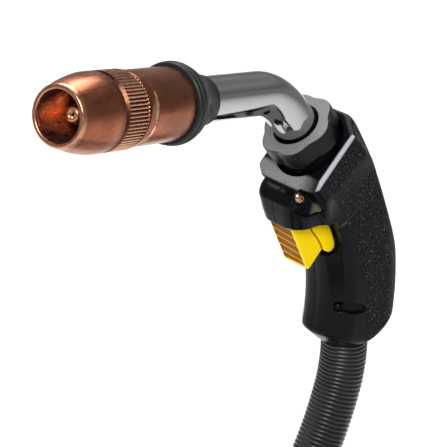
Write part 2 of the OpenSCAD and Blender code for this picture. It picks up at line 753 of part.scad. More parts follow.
nozzle();
nozzle_sleeve();
nozzle_insulator();
gas_diffuser();
contact_tip();
neck_boot();
neck_tube();
neck_insulation();
conductor_tube();
wire_liner();
neck_nut();
neck_washer();
connector_block();
block_screws();
power_lead();
handle_left();
handle_right();
handle_screws();
handle_nuts();
trigger();
trigger_pin();
trigger_spring();
switch_body();
switch_plunger();
switch_wires();
cable_clamp();
cable_sleeve();
cable_drop();
cable_coil();
cable_tail();
coil_ties();
plug_sleeve();
plug_shell_left();
plug_shell_right();
plug_screws();
plug_ring();
plug_body();
plug_pin();
plug_insulator();
plug_contacts();
plug_seal();
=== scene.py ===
"""Looks of the welding torch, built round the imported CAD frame. The makers below work in millimetres."""

import json
import math

import bpy
import numpy as np
from mathutils import Matrix, Vector


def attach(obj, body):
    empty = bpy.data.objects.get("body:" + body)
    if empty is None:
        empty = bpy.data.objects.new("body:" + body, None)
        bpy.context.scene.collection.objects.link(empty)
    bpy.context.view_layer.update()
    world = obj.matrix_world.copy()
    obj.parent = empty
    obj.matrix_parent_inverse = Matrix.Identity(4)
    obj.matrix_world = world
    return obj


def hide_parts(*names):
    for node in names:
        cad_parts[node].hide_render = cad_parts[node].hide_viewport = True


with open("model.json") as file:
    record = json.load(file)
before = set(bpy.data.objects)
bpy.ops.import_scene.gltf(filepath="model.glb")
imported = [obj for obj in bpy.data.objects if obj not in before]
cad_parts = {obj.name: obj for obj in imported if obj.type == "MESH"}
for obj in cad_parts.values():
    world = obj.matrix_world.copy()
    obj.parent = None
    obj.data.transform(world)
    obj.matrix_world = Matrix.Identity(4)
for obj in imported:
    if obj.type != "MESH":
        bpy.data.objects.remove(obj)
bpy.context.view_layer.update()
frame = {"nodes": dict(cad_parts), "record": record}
MM = 0.001

# ---- The model's own frames (the same driving values as the CAD source) -----------------
NECK_AT = np.array([-32.5715, 0.0, 60.6545])
LEAN, SWIVEL, BEND, BEND_R, RISER = 36.0, 24.5, 42.0, 40.0, 7.5
REACH, BOOT_LEN, NOZZLE_LEN = 43.5, 25.0, 72.0
NOZZLE_Z = REACH + BOOT_LEN
LIP_Z = NOZZLE_Z + NOZZLE_LEN
ARC_X, ARC_Z, GRIP_R = -114.0, -26.32, 117.0
TUBE_R = 9.85
COIL_X, COIL_Y, COIL_R, CABLE_D = -174.0, -115.0, 115.0, 17.5
REST_Z = -222.0
LOW_Z = REST_Z + CABLE_D / 2
SLEEVE_R = 11.25


def rot_y(deg):
    c, s = math.cos(math.radians(deg)), math.sin(math.radians(deg))
    return np.array([[c, 0, s], [0, 1, 0], [-s, 0, c]])


def rot_z(deg):
    c, s = math.cos(math.radians(deg)), math.sin(math.radians(deg))
    return np.array([[c, -s, 0], [s, c, 0], [0, 0, 1]])


def placed(frame_to, rotation, at):
    """The frame that sits at a point of another frame, turned by a rotation."""
    r, t = frame_to
    return r @ rotation, t + r @ np.asarray(at, float)


def bend_point(angle, off=0.0):
    """A point of the gooseneck's bend, in the gooseneck's frame, at an angle and off the middle line."""
    a = math.radians(angle)
    return np.array([-BEND_R + (BEND_R + off) * math.cos(a), 0, RISER + (BEND_R + off) * math.sin(a)])


ROW = (np.eye(3), np.zeros(3))
NECK = (rot_y(-LEAN), NECK_AT)
GOOSE = placed(NECK, rot_z(SWIVEL), [0, 0, 0])
GUN = placed(GOOSE, rot_y(-BEND), bend_point(BEND))


# ---- Mesh makers ------------------------------------------------------------------------
def make_piece(name, verts, faces, body, slot, at=ROW, hides=(), crease=35):
    """A mesh piece from points in a frame, in millimetres. It rides on a body and has its slot's material."""
    r, t = at
    world = (np.asarray(verts, float) @ r.T + t) * MM
    mesh = bpy.data.meshes.new(name)
    mesh.from_pydata(world.tolist(), [], [list(map(int, f)) for f in faces])
    mesh.validate()
    mesh.polygons.foreach_set("use_smooth", [True] * len(mesh.polygons))
    mesh.set_sharp_from_angle(angle=math.radians(crease))
    mesh.update()
    piece = bpy.data.objects.new(name, mesh)
    bpy.context.scene.collection.objects.link(piece)
    mesh.materials.append(M[slot])
    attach(piece, body)
    if hides:
        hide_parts(*hides)
    return piece


def grid_faces(rows, cols, wrap_rows=False, wrap_cols=True):
    """Quads of a grid of points, row by row."""
    i = np.arange(rows if wrap_rows else rows - 1)[:, None]
    j = np.arange(cols if wrap_cols else cols - 1)[None, :]
    i2, j2 = (i + 1) % rows, (j + 1) % cols
    return np.stack([i * cols + j, i * cols + j2, i2 * cols + j2, i2 * cols + j], -1).reshape(-1, 4)


def rounded(points, radius, steps=4, closed=True):
    """An outline with its corners rounded. radius is one number or one for each point."""
    pts = [np.array(p, float) for p in points]
    radii = [radius] * len(pts) if np.isscalar(radius) else list(radius)
    out = []
    for k, p in enumerate(pts):
        if not closed and k in (0, len(pts) - 1):
            out.append(p)
            continue
        a, b = pts[k - 1] - p, pts[(k + 1) % len(pts)] - p
        la, lb = np.linalg.norm(a), np.linalg.norm(b)
        cut = min(radii[k], la * 0.45, lb * 0.45)
        if cut < 1e-6:
            out.append(p)
            continue
        p0, p2 = p + a / la * cut, p + b / lb * cut
        for s in np.linspace(0, 1, steps + 1):
            out.append((1 - s) ** 2 * p0 + 2 * s * (1 - s) * p + s * s * p2)
    return np.array(out)


def lathe(outline, segments=128, shape=None):
    """A closed outline of (radius, z) turned round z. shape(r, z, angle) may change the radius."""
    outline = np.asarray(outline, float)
    ang = np.linspace(0, 2 * math.pi, segments, endpoint=False)
    r, z, a = outline[:, :1], outline[:, 1:], ang[None, :]
    rad = np.broadcast_to(r, (len(outline), segments))
    if shape is not None:
        rad = shape(rad, np.broadcast_to(z, rad.shape), np.broadcast_to(a, rad.shape))
    pts = np.stack([rad * np.cos(a), rad * np.sin(a), np.broadcast_to(z, rad.shape)], -1).reshape(-1, 3)
    return pts, grid_faces(len(outline), segments, wrap_rows=True)


def lathe_piece(name, outline, body, slot, at, hides=(), segments=128, shape=None, crease=35):
    pts, faces = lathe(outline, segments, shape)
    return make_piece(name, pts, faces, body, slot, at, hides, crease)


def directions(path):
    d = np.gradient(np.asarray(path, float), axis=0)
    return d / np.linalg.norm(d, axis=1)[:, None]


def sweep(path, radii, sides=48, closed_ends=True):
    """A round tube along a path, with a radius at each point."""
    path = np.asarray(path, float)
    d = directions(path)
    side = np.cross(d[0], [0, 1, 0] if abs(d[0][1]) < 0.9 else [1, 0, 0])
    ang = np.linspace(0, 2 * math.pi, sides, endpoint=False)
    rows = []
    for p, t, r in zip(path, d, np.broadcast_to(radii, len(path))):
        side = side - t * side.dot(t)
        side /= np.linalg.norm(side)
        up = np.cross(t, side)
        rows.append(p + r * (np.cos(ang)[:, None] * side + np.sin(ang)[:, None] * up))
    pts = np.concatenate(rows)
    faces = [list(f[::-1]) for f in grid_faces(len(path), sides)]
    if closed_ends:
        faces += [list(range(sides)), list(range((len(path) - 1) * sides, len(path) * sides))[::-1]]
    return pts, faces


def spaced(path, step):
    """A smooth curve through the points, resampled evenly."""
    p = np.asarray(path, float)
    q = np.vstack([2 * p[0] - p[1], p, 2 * p[-1] - p[-2]])
    fine = []
    for k in range(1, len(q) - 2):
        s = np.linspace(0, 1, 24, endpoint=False)[:, None]
        a, b, c, d = q[k - 1], q[k], q[k + 1], q[k + 2]
        square, cube = 2 * a - 5 * b + 4 * c - d, 3 * b - a - 3 * c + d
        fine.append(0.5 * (2 * b + (c - a) * s + square * s**2 + cube * s**3))
    fine = np.vstack(fine + [q[-2:-1]])
    run = np.concatenate([[0], np.cumsum(np.linalg.norm(np.diff(fine, axis=0), axis=1))])
    at = np.linspace(0, run[-1], max(2, int(round(run[-1] / step)) + 1))
    return np.stack([np.interp(at, run, fine[:, k]) for k in range(3)], -1)


# ---- Solids from distance fields, for the moulded parts -----------------------------------
def smin(a, b, k):
    h = np.clip(0.5 + 0.5 * (b - a) / k, 0, 1)
    return b * (1 - h) + a * h - k * h * (1 - h)


def smax(a, b, k):
    return -smin(-a, -b, k)


def box2(x, y, half_x, half_y, r):
    """Distance to a rectangle with round corners, centred on the origin."""
    qx, qy = np.abs(x) - half_x + r, np.abs(y) - half_y + r
    return np.hypot(np.maximum(qx, 0), np.maximum(qy, 0)) + np.minimum(np.maximum(qx, qy), 0) - r


def polygon2(x, y, points):
    """Distance to a polygon, negative inside."""
    pts = np.asarray(points, float)
    d = np.full(np.shape(x), 1e9, np.float32)
    odd = np.zeros(np.shape(x), bool)
    for a, b in zip(pts, np.roll(pts, -1, axis=0)):
        e = b - a
        wx, wy = x - a[0], y - a[1]
        t = np.clip((wx * e[0] + wy * e[1]) / e.dot(e), 0, 1)
        d = np.minimum(d, (wx - e[0] * t) ** 2 + (wy - e[1] * t) ** 2)
        if abs(e[1]) > 1e-9:
            odd ^= ((a[1] > y) != (b[1] > y)) & (wx < e[0] * wy / e[1])
    return np.where(odd, -1, 1) * np.sqrt(d)


def local(at, x, y, z):
    """Coordinates of row points in a frame."""
    r, t = at
    dx, dy, dz = x - t[0], y - t[1], z - t[2]
    return tuple(dx * r[0, k] + dy * r[1, k] + dz * r[2, k] for k in range(3))


def surface(field, lo, hi, step):
    """Points and quads where the field is zero, with one point in each cell that the surface crosses."""
    axes = [np.arange(lo[k], hi[k] + step, step) for k in range(3)]
    v = field(*np.meshgrid(*[a.astype(np.float32) for a in axes], indexing="ij"))
    inside = v < 0
    shape = tuple(n - 1 for n in v.shape)
    count = sum(inside[i : i + shape[0], j : j + shape[1], k : k + shape[2]].astype(np.int8)
                for i in (0, 1) for j in (0, 1) for k in (0, 1))
    live = (count > 0) & (count < 8)
    index = np.full(shape, -1, np.int64)
    index[live] = np.arange(live.sum())
    total, hits, faces = np.zeros((live.sum(), 3)), np.zeros(live.sum()), []
    for axis in range(3):
        a, b = [slice(None)] * 3, [slice(None)] * 3
        a[axis], b[axis] = slice(0, -1), slice(1, None)
        cross = inside[tuple(a)] != inside[tuple(b)]
        at = np.argwhere(cross)
        v0, v1 = v[tuple(a)][cross], v[tuple(b)][cross]
        where = at.astype(float)
        where[:, axis] += v0 / (v0 - v1)
        u, w = (axis + 1) % 3, (axis + 2) % 3
        corner = []
        for du, dw in ((0, 0), (1, 0), (1, 1), (0, 1)):
            cell = at.copy()
            cell[:, u] -= du
            cell[:, w] -= dw
            ok = ((cell >= 0) & (cell < np.array(shape))).all(1)
            ids = np.where(ok, index[tuple(np.clip(cell, 0, np.array(shape) - 1).T)], -1)
            np.add.at(total, ids[ids >= 0], where[ids >= 0])
            np.add.at(hits, ids[ids >= 0], 1)
            corner.append(ids)
        quad = np.stack(corner, 1)
        flip = inside[tuple(a)][cross]
        quad[~flip] = quad[~flip][:, ::-1]
        faces.append(quad[(quad >= 0).all(1)])
    pts = total / hits[:, None] * step + np.array([a[0] for a in axes])
    for _ in range(3):
        e = step * 0.3
        g = np.stack([(field(*(pts + d).T) - field(*(pts - d).T)) / (2 * e) for d in np.eye(3) * e], 1)
        move = -g * (field(*pts.T) / np.maximum((g * g).sum(1), 0.05))[:, None]
        pts = pts + np.clip(move, -step * 0.5, step * 0.5)
    return pts, np.vstack(faces)


# ---- Materials --------------------------------------------------------------------------
class Shader:
    """A small builder for a procedural material: colour variation, roughness and bump from noise, and painted
    light and shade from point values.
    """

    def __init__(self, name, color, rough=0.4, metal=0.0, coat=0.0, specular=0.5):
        self.m = bpy.data.materials.new(name)
        self.m.use_nodes = True
        self.t = self.m.node_tree
        self.p = self.t.nodes["Principled BSDF"]
        self.set("Base Color", (*color, 1))
        self.set("Roughness", rough)
        self.set("Metallic", metal)
        self.set("Coat Weight", coat)
        self.set("Coat Roughness", 0.08)
        self.set("Specular IOR Level", specular)
        self.m.diffuse_color = (*color, 1)
        self.coords = self.node("ShaderNodeTexCoord").outputs["Object"]
        self.color = None
        self.base = color
        self.height = None

    def node(self, kind, **values):
        n = self.t.nodes.new(kind)
        for k, v in values.items():
            setattr(n, k, v)
        return n

    def set(self, socket, value):
        self.p.inputs[socket].default_value = value

    def link(self, a, b):
        self.t.links.new(a, b)

    def noise(self, scale, detail=4.0, rough=0.55, stretch=None):
        n = self.node("ShaderNodeTexNoise")
        n.inputs["Scale"].default_value = scale
        n.inputs["Detail"].default_value = detail
        n.inputs["Roughness"].default_value = rough
        source = self.coords
        if stretch is not None:
            m = self.node("ShaderNodeMapping")
            m.inputs["Scale"].default_value = stretch
            self.link(self.coords, m.inputs["Vector"])
            source = m.outputs["Vector"]
        self.link(source, n.inputs["Vector"])
        return n.outputs["Fac"]

    def cells(self, scale):
        n = self.node("ShaderNodeTexVoronoi")
        n.inputs["Scale"].default_value = scale
        self.link(self.coords, n.inputs["Vector"])
        return n.outputs["Distance"]

    def attribute(self, name):
        return self.node("ShaderNodeAttribute", attribute_name=name).outputs["Fac"]

    def ramp(self, value, lo, hi, out_lo=0.0, out_hi=1.0):
        n = self.node("ShaderNodeMapRange")
        for k, v in (("From Min", lo), ("From Max", hi), ("To Min", out_lo), ("To Max", out_hi)):
            n.inputs[k].default_value = v
        self.link(value, n.inputs["Value"])
        return n.outputs["Result"]

    def math(self, kind, a, b):
        n = self.node("ShaderNodeMath", operation=kind)
        for socket, v in zip(n.inputs, (a, b)):
            if isinstance(v, (int, float)):
                socket.default_value = v
            else:
                self.link(v, socket)
        return n.outputs["Value"]

    def tint(self, factor, color):
        """Mixes a colour over what is there, by a factor."""
        n = self.node("ShaderNodeMix", data_type="RGBA")
        if isinstance(factor, (int, float)):
            n.inputs["Factor"].default_value = factor
        else:
            self.link(factor, n.inputs["Factor"])
        if self.color is None:
            n.inputs["A"].default_value = (*self.base, 1)
        else:
            self.link(self.color, n.inputs["A"])
        n.inputs["B"].default_value = (*color, 1)
        self.color = n.outputs["Result"]
        self.link(self.color, self.p.inputs["Base Color"])
        return self

    def drive(self, socket, value):
        self.link(value, self.p.inputs[socket])
        return self

    def bump(self, height, strength, distance=0.0002):
        n = self.node("ShaderNodeBump")
        n.inputs["Strength"].default_value = strength
        n.inputs["Distance"].default_value = distance
        self.link(height, n.inputs["Height"])
        if self.height is not None:
            self.link(self.height, n.inputs["Normal"])
        self.height = n.outputs["Normal"]
        self.link(self.height, self.p.inputs["Normal"])
        return self


def plain(name, color, rough, coat=0.0, grain=1500.0, depth=0.15, tone=0.25, specular=0.5):
    """A finish with mild colour and roughness variation and a fine grain."""
    s = Shader(name, color, rough, 0.0, coat, specular)
    s.tint(s.ramp(s.noise(60, 5), 0.35, 0.75, 0, tone), tuple(c * 0.55 for c in color))
    s.drive("Roughness", s.ramp(s.noise(220, 3), 0.3, 0.7, rough * 0.85, min(1, rough * 1.2)))
    s.bump(s.noise(grain, 3), depth, 0.0001)
    return s


def brushed(name, color, rough, axis_stretch, tone=0.3, depth=0.12):
    """A metal with fine lines across one direction and some tarnish."""
    s = Shader(name, color, rough, 1.0)
    s.tint(s.ramp(s.noise(45, 6), 0.4, 0.8, 0, tone), tuple(c * 0.5 for c in color))
    line = s.noise(900, 2, stretch=axis_stretch)
    s.drive("Roughness", s.ramp(line, 0.3, 0.7, rough * 0.8, rough * 1.3))
    s.bump(line, depth, 0.00005)
    return s


def screw_finish():
    s = brushed("screw_brass", (0.50, 0.31, 0.19), 0.26, (1, 1, 0.3))
    # Painted shade: the lower screw is darkened, as it sits in its pocket's shade.
    s.tint(s.attribute("painted_pocket_shade"), (0.018, 0.015, 0.013))
    return s.m


def copper_finish():
    s = Shader("copper", (0.40, 0.135, 0.070), 0.28, 1.0)
    s.tint(s.ramp(s.noise(34, 6), 0.40, 0.66, 0, 0.75), (0.19, 0.060, 0.030))
    s.tint(s.ramp(s.noise(95, 4, stretch=(1, 1, 0.4)), 0.55, 0.8, 0, 0.3), (0.58, 0.26, 0.15))
    # Paler copper on the lip, and painted highlight on the knurl's ridges.
    s.tint(s.attribute("pale_and_painted_light"), (0.92, 0.49, 0.31))
    # Painted highlight: a golden tint in the groove's arcs, where light catches them.
    s.tint(s.attribute("painted_groove_highlight"), (1.0, 0.66, 0.40))
    # Painted light: lighter copper inside the mouth, in place of the light reflected there.
    s.tint(s.attribute("mouth"), (0.74, 0.38, 0.31))
    # Painted shade: darker copper in the recesses, the knurl's valleys and the back of the bore.
    s.tint(s.attribute("deep"), (0.06, 0.02, 0.012))
    line = s.noise(700, 3, stretch=(0.15, 1, 1))
    s.drive("Roughness", s.ramp(line, 0.3, 0.7, 0.22, 0.38))
    s.bump(line, 0.10, 0.00006)
    s.bump(s.noise(160, 4), 0.10, 0.0002)
    return s.m


def handle_finish():
    s = Shader("handle_plastic", (0.0035, 0.004, 0.005), 0.34, 0.0, 0.0, 0.09)
    grain = s.attribute("grain")
    cell = s.cells(950)
    # Painted glints: light flecks over the textured zone.
    glint_flecks = s.ramp(s.noise(1050, 2, 0.7), 0.61, 0.69, 0, 1)
    s.tint(s.math("MULTIPLY", glint_flecks, s.math("MULTIPLY", grain, 0.5)), (0.22, 0.23, 0.24))
    # Painted light: the collar's front bevel is a lighter grey, as lit from above and in front.
    s.tint(s.attribute("pale_and_painted_light"), (0.23, 0.23, 0.225))
    # Light specks on the bevel: a sandy texture and painted glints.
    sand_and_glints = s.ramp(s.noise(1500, 2, 0.7), 0.52, 0.66, 0, 0.5)
    s.tint(s.math("MULTIPLY", sand_and_glints, s.attribute("pale_and_painted_light")), (0.52, 0.52, 0.51))
    # Painted highlight: a light strip along the collar's near rim.
    s.tint(s.attribute("painted_rim_highlight"), (0.40, 0.40, 0.45))
    s.tint(s.attribute("glint"), (0.10, 0.10, 0.065))
    s.drive("Roughness", s.ramp(s.math("ADD", grain, s.attribute("pale_and_painted_light")), 0, 1, 0.20, 0.50))
    s.bump(s.math("MULTIPLY", cell, grain), 0.9, 0.0006)
    s.bump(s.noise(1300, 3), 0.05, 0.0001)
    return s.m


def nut_finish():
    s = Shader("nut_plastic", (0.004, 0.004, 0.005), 0.2, 0.0, 0.0, 0.16)
    # Painted light: the nut's top face is a lighter grey with light flecks, as lit from above.
    s.tint(s.attribute("pale_and_painted_light"), (0.185, 0.185, 0.18))
    glint_flecks = s.ramp(s.noise(1500, 2, 0.7), 0.54, 0.66, 0, 0.4)
    s.tint(s.math("MULTIPLY", glint_flecks, s.attribute("pale_and_painted_light")), (0.42, 0.42, 0.41))
    s.drive("Roughness", s.ramp(s.attribute("pale_and_painted_light"), 0, 1, 0.22, 0.6))
    s.bump(s.noise(1500, 3), 0.3, 0.0003)
    return s.m


def trigger_finish():
    s = Shader("trigger_yellow", (1.0, 0.70, 0.0), 0.4, 0.0, 0.0, 0.06)
    # Painted shade: the trigger's front face is a darker brownish yellow, as it turns away from the light.
    s.tint(s.attribute("painted_face_shade"), (0.33, 0.125, 0.008))
    # Painted highlight: a lighter orange along the ribs' tops.
    s.tint(s.attribute("rib"), (0.95, 0.50, 0.12))
    # Painted shade: a darker line along the groove between the blade and the ear.
    s.tint(s.attribute("painted_groove_shade"), (0.30, 0.17, 0.0))
    # Painted highlight: a lighter yellow line where the face meets the sides.
    s.tint(s.attribute("painted_edge_highlight"), (1.0, 0.78, 0.10))
    s.bump(s.noise(600, 3), 0.05, 0.0001)
    s.drive("Roughness", s.ramp(s.noise(200, 3), 0.3, 0.7, 0.38, 0.5))
    return s.m


def sleeve_finish():
    s = Shader("sleeve_black", (0.012, 0.013, 0.0145), 0.27, 0.0, 0.1, 0.5)
    s.tint(s.ramp(s.noise(90, 4), 0.4, 0.7, 0, 0.3), (0.03, 0.032, 0.034))
    s.drive("Roughness", s.ramp(s.noise(300, 3), 0.3, 0.7, 0.27, 0.42))
    s.bump(s.noise(900, 3), 0.08, 0.0001)
    return s.m


def strap_finish():
    s = Shader("tie_fabric", (0.05, 0.05, 0.06), 0.85)
    weave = s.node("ShaderNodeTexWave", wave_type="BANDS", bands_direction="DIAGONAL")
    weave.inputs["Scale"].default_value = 420
    s.link(s.coords, weave.inputs["Vector"])
    s.tint(s.ramp(weave.outputs["Fac"], 0.3, 0.9, 0, 0.6), (0.11, 0.11, 0.13))
    s.set("Sheen Weight", 0.3)
    s.bump(weave.outputs["Fac"], 0.5, 0.0003)
    return s.m


def chrome_finish():
    s = Shader("steel", (0.46, 0.46, 0.475), 0.09, 1.0)
    s.tint(s.ramp(s.noise(30, 4), 0.45, 0.8, 0, 0.2), (0.30, 0.30, 0.31))
    s.drive("Roughness", s.ramp(s.noise(120, 5), 0.35, 0.8, 0.05, 0.13))
    s.bump(s.noise(60, 2), 0.04, 0.0005)
    return s.m


M = {
    "copper": copper_finish(),
    "brass": brushed("brass", (0.60, 0.42, 0.17), 0.30, (1, 1, 0.2)).m,
    "black_fibre": plain("black_fibre", (0.022, 0.018, 0.015), 0.6, grain=900).m,
    "tip_copper": brushed("tip_copper", (0.90, 0.52, 0.33), 0.16, (1, 0.3, 1), tone=0.15).m,
    "boot_rubber": plain("boot_rubber", (0.013, 0.016, 0.015), 0.42, grain=1100, depth=0.25, specular=0.3).m,
    "steel": chrome_finish(),
    "insulation": plain("insulation", (0.72, 0.70, 0.62), 0.5).m,
    "spring_steel": brushed("spring_steel", (0.45, 0.45, 0.47), 0.28, (1, 1, 1)).m,
    "nut_plastic": nut_finish(),
    "handle_plastic": handle_finish(),
    "screw_brass": screw_finish(),
    "trigger_yellow": trigger_finish(),
    "pin_steel": brushed("pin_steel", (0.58, 0.58, 0.60), 0.2, (1, 0.2, 1)).m,
    "switch_black": plain("switch_black", (0.02, 0.02, 0.022), 0.3, coat=0.2).m,
    "plunger_white": plain("plunger_white", (0.75, 0.75, 0.70), 0.35, coat=0.2).m,
    "wire_red": plain("wire_red", (0.42, 0.02, 0.015), 0.35, coat=0.2).m,
    "lead_copper": plain("lead_copper", (0.06, 0.03, 0.02), 0.55).m,
    "clamp_plastic": plain("clamp_plastic", (0.045, 0.045, 0.05), 0.5).m,
    "sleeve_black": sleeve_finish(),
    "cable_rubber": plain("cable_rubber", (0.020, 0.020, 0.021), 0.42, grain=700, depth=0.2).m,
    "tie_fabric": strap_finish(),
    "plug_plastic": plain("plug_plastic", (0.022, 0.022, 0.024), 0.42, grain=1200, depth=0.35).m,
    "ring_plastic": plain("ring_plastic", (0.018, 0.018, 0.02), 0.45, grain=1200, depth=0.3).m,
    "seal_rubber": plain("seal_rubber", (0.010, 0.010, 0.010), 0.45).m,
    "dark_steel": brushed("dark_steel", (0.12, 0.12, 0.13), 0.35, (1, 1, 1)).m,
}
slot_of = {s["node"]: s["material_slot"] for s in frame["record"]["subparts"]}
for node, obj in frame["nodes"].items():
    obj.data.materials.clear()
    obj.data.materials.append(M[slot_of[node]])


def paint(piece, name, values):
    """A value for each point of a piece, which its material reads by name."""
    layer = piece.data.attributes.new(name, "FLOAT", "POINT")
    layer.data.foreach_set("value", np.clip(values, 0, 1).astype(np.float32))


def points_of(piece):
    """The piece's points in the row frame, in millimetres."""
    co = np.zeros(len(piece.data.vertices) * 3)
    piece.data.vertices.foreach_get("co", co)
    return co.reshape(-1, 3) / MM


# ---- Camera: where it stands in metres, where it looks and which way is right ----------------
CAMERA_AT, CAMERA_LENS = (-0.595731, -0.624375, 0.393258), 164.11
CAMERA_AHEAD, CAMERA_RIGHT = (0.583842, 0.699012, -0.412931), (0.767330, -0.641252, -0.000590)


def make_camera():
    data = bpy.data.cameras.new("camera")
    data.lens, data.sensor_width = CAMERA_LENS, 36.0
    data.clip_start, data.clip_end = 0.05, 50
    cam = bpy.data.objects.new("camera", data)
    bpy.context.scene.collection.objects.link(cam)
    ahead, right = Vector(CAMERA_AHEAD), Vector(CAMERA_RIGHT)
    turn = Matrix((right, right.cross(ahead), -ahead)).transposed().to_4x4()
    cam.matrix_world = Matrix.Translation(Vector(CAMERA_AT)) @ turn
    bpy.context.scene.camera = cam


make_camera()

# ---- The cable: drop, coil and tail, with the ribbed sleeve over its first stretch ------------
DROP = [
    (0.8, 0, -43.6), (0.7, 0, -55), (0.2, 0, -66), (-2, 0, -78), (-6, 0, -90), (-11, 0, -102),
    (-17, 0, -114), (-23.5, 0, -126.5), (-31, 0, -139), (-40.5, 0, -151.5), (-51, 0, -162.5),
    (-62, 0, -173), (-74, 0, -182), (-86.5, 0, -190), (-100, 0, -197), (-114, 0, -202.8),
    (-129, 0, -207.5), (-144, 0, -211), (-159, 0, -212.8), (-174, 0, -213.2),
]
TAIL = [
    (-105, -184, -195.7), (-96, -175, -196), (-86, -165, -196.8), (-76, -155, -198),
    (-66, -145, -199.2), (-56, -135, -199.9), (-46, -125, -200),
]
SLEEVE_POINTS, SLEEVE_STEP, SLEEVE_PITCH, RIB_DEEP = 13, 0.22, 2.2, 0.85
CLAMP_END = -49.9
TURNS, TURN_STEPS = 4.625, 36


def ease(t, start, end):
    s = np.clip((t - start) / (end - start), 0, 1)
    return s * s * (3 - 2 * s)


def coil_points():
    """The coil's turns: three on the surface, going inwards, then one and a half on top, going outwards."""
    t = np.arange(1, round(TURNS * TURN_STEPS)) / TURN_STEPS
    r = COIL_R - CABLE_D * (ease(t, 0.6, 1.0) + ease(t, 1.64, 2.0) - ease(t, 3.32, 3.68))
    z = LOW_Z + CABLE_D * ease(t, 2.34, 2.66)
    a = np.radians(90 + 360 * t)
    return np.stack([COIL_X + r * np.cos(a), COIL_Y + r * np.sin(a), z], -1)


def make_cable():
    route = spaced(np.vstack([DROP, coil_points(), TAIL]), 4.0)
    pts, faces = sweep(route, CABLE_D / 2, 28)
    cable = make_piece("power_cable", pts, faces, "handle", "cable_rubber",
                       hides=("cable_drop", "cable_coil", "cable_tail"))
    length = float(np.linalg.norm(np.diff(route, axis=0), axis=1).sum())
    return cable, route, length


def make_sleeve():
    """The ribbed sleeve: close round ribs on a closed tube that the cable runs inside."""
    route = spaced([(0.75, 0, CLAMP_END)] + DROP[1:SLEEVE_POINTS], SLEEVE_STEP)
    along = np.arange(len(route)) * SLEEVE_STEP
    wave = np.abs(np.sin(math.pi * along / SLEEVE_PITCH)) ** 0.7
    radii = SLEEVE_R - RIB_DEEP + RIB_DEEP * wave
    pts, faces = sweep(route, radii, 56)
    return make_piece("ribbed_sleeve", pts, faces, "handle", "sleeve_black",
                      hides=("cable_sleeve",), crease=60)


cable, cable_route, cable_length = make_cable()
sleeve = make_sleeve()

# ---- Nozzle, tip and boot -----------------------------------------------------------------
NOZZLE_R, LIP_R, MOUTH_R, TIP_DEEP = 16.0, 12.2, 9.9, 9.0
KNURL_AT, KNURL_LEN, KNURL_RIDGES, KNURL_DEEP = 24.5, 14.0, 64, 0.75
# The groove's arcs: their middles, in degrees, with half their span, half their width and their depth
GROOVE_AT = -(KNURL_AT + KNURL_LEN + 6.2)
GROOVE_MIDS, GROOVE_SPAN, GROOVE_HALF, GROOVE_DEEP = (218.0, 270.0, 60.0), 24, 1.15, 0.55
REAR_R = NOZZLE_R - 0.75
BORE_R = 11.6


def nozzle_outline():
    """(radius, z) from the mouth, over the lip and back along the outside, then forward through the bore."""
    ogive_len, drop = KNURL_AT - 4, NOZZLE_R - LIP_R
    arc = (ogive_len**2 + drop**2) / (2 * drop)
    lip = rounded([(MOUTH_R + 0.5, -4), (MOUTH_R, -1.5), (MOUTH_R + 0.5, 0), (LIP_R - 0.3, 0),
                   (LIP_R + 0.25, -1.2)], [0, 0.8, 0.5, 0.9, 0], closed=False)
    ogive = []
    for b in np.linspace(1.2, ogive_len, 20):
        circle = NOZZLE_R - arc + math.sqrt(arc**2 - (ogive_len - b) ** 2)
        cone = NOZZLE_R - drop * max(0, 1 - b / (0.78 * ogive_len)) ** 1.25
        ogive.append((0.6 * circle + 0.4 * cone, -1 - b))
    front, back = -KNURL_AT, -KNURL_AT - KNURL_LEN
    neck = rounded([ogive[-1], (NOZZLE_R, front + 2.2), (NOZZLE_R - 1.5, front + 1.7),
                    (NOZZLE_R - 1.5, front + 0.3), (NOZZLE_R - 0.05, front - 0.5)], 0.35, closed=False)[1:]
    knurl = [(NOZZLE_R - 0.05, z) for z in np.linspace(front - 0.7, back + 0.7, 22)]
    rear = rounded([(NOZZLE_R - 0.05, back + 0.5), (NOZZLE_R - 1.3, back - 0.4), (NOZZLE_R - 1.3, back - 1.3),
                    (REAR_R, back - 1.8), (REAR_R, GROOVE_AT + 1.2)], 0.3, closed=False)
    groove = [(REAR_R, z) for z in np.linspace(GROOVE_AT + 1.0, GROOVE_AT - 1.0, 13)]
    end = 0.2 - NOZZLE_LEN
    tail = rounded([(REAR_R, GROOVE_AT - 1.2), (REAR_R, end), (BORE_R + 1.3, end), (BORE_R + 1.3, -36),
                    (BORE_R, -34), (BORE_R, -14), (10.9, -9)], [0, 0.6, 0.3, 0.3, 0.5, 2, 0], closed=False)
    return np.vstack([lip, ogive, neck, knurl, rear, groove, tail])


def knurl_wave(z, a):
    """How high the knurl's ridges stand, from 0 to 1."""
    back = -KNURL_AT - KNURL_LEN
    band = ease(z, back + 0.2, back + 0.9) * (1 - ease(z, -KNURL_AT - 0.9, -KNURL_AT - 0.2))
    return band * (0.5 + 0.5 * np.cos(a * KNURL_RIDGES)) ** 0.8


def groove_dip(z, a):
    """How deep the groove's arcs are cut, from 0 to 1. Their ends are pointed."""
    arcs = np.zeros_like(a)
    for mid in GROOVE_MIDS:
        off = (np.degrees(a) - mid + 180) % 360 - 180
        arcs = np.maximum(arcs, np.clip(1 - (off / GROOVE_SPAN) ** 2, 0, 1))
    return np.clip(1 - (np.abs(z - GROOVE_AT) / (GROOVE_HALF * np.sqrt(arcs) + 0.05)) ** 2, 0, 1)


def nozzle_shape(r, z, a):
    outside = r > 13.5
    knurled = outside * (z < -KNURL_AT - 0.6) * (z > -KNURL_AT - KNURL_LEN + 0.6)
    return r - KNURL_DEEP * (1 - knurl_wave(z, a)) * knurled - GROOVE_DEEP * groove_dip(z, a) * outside


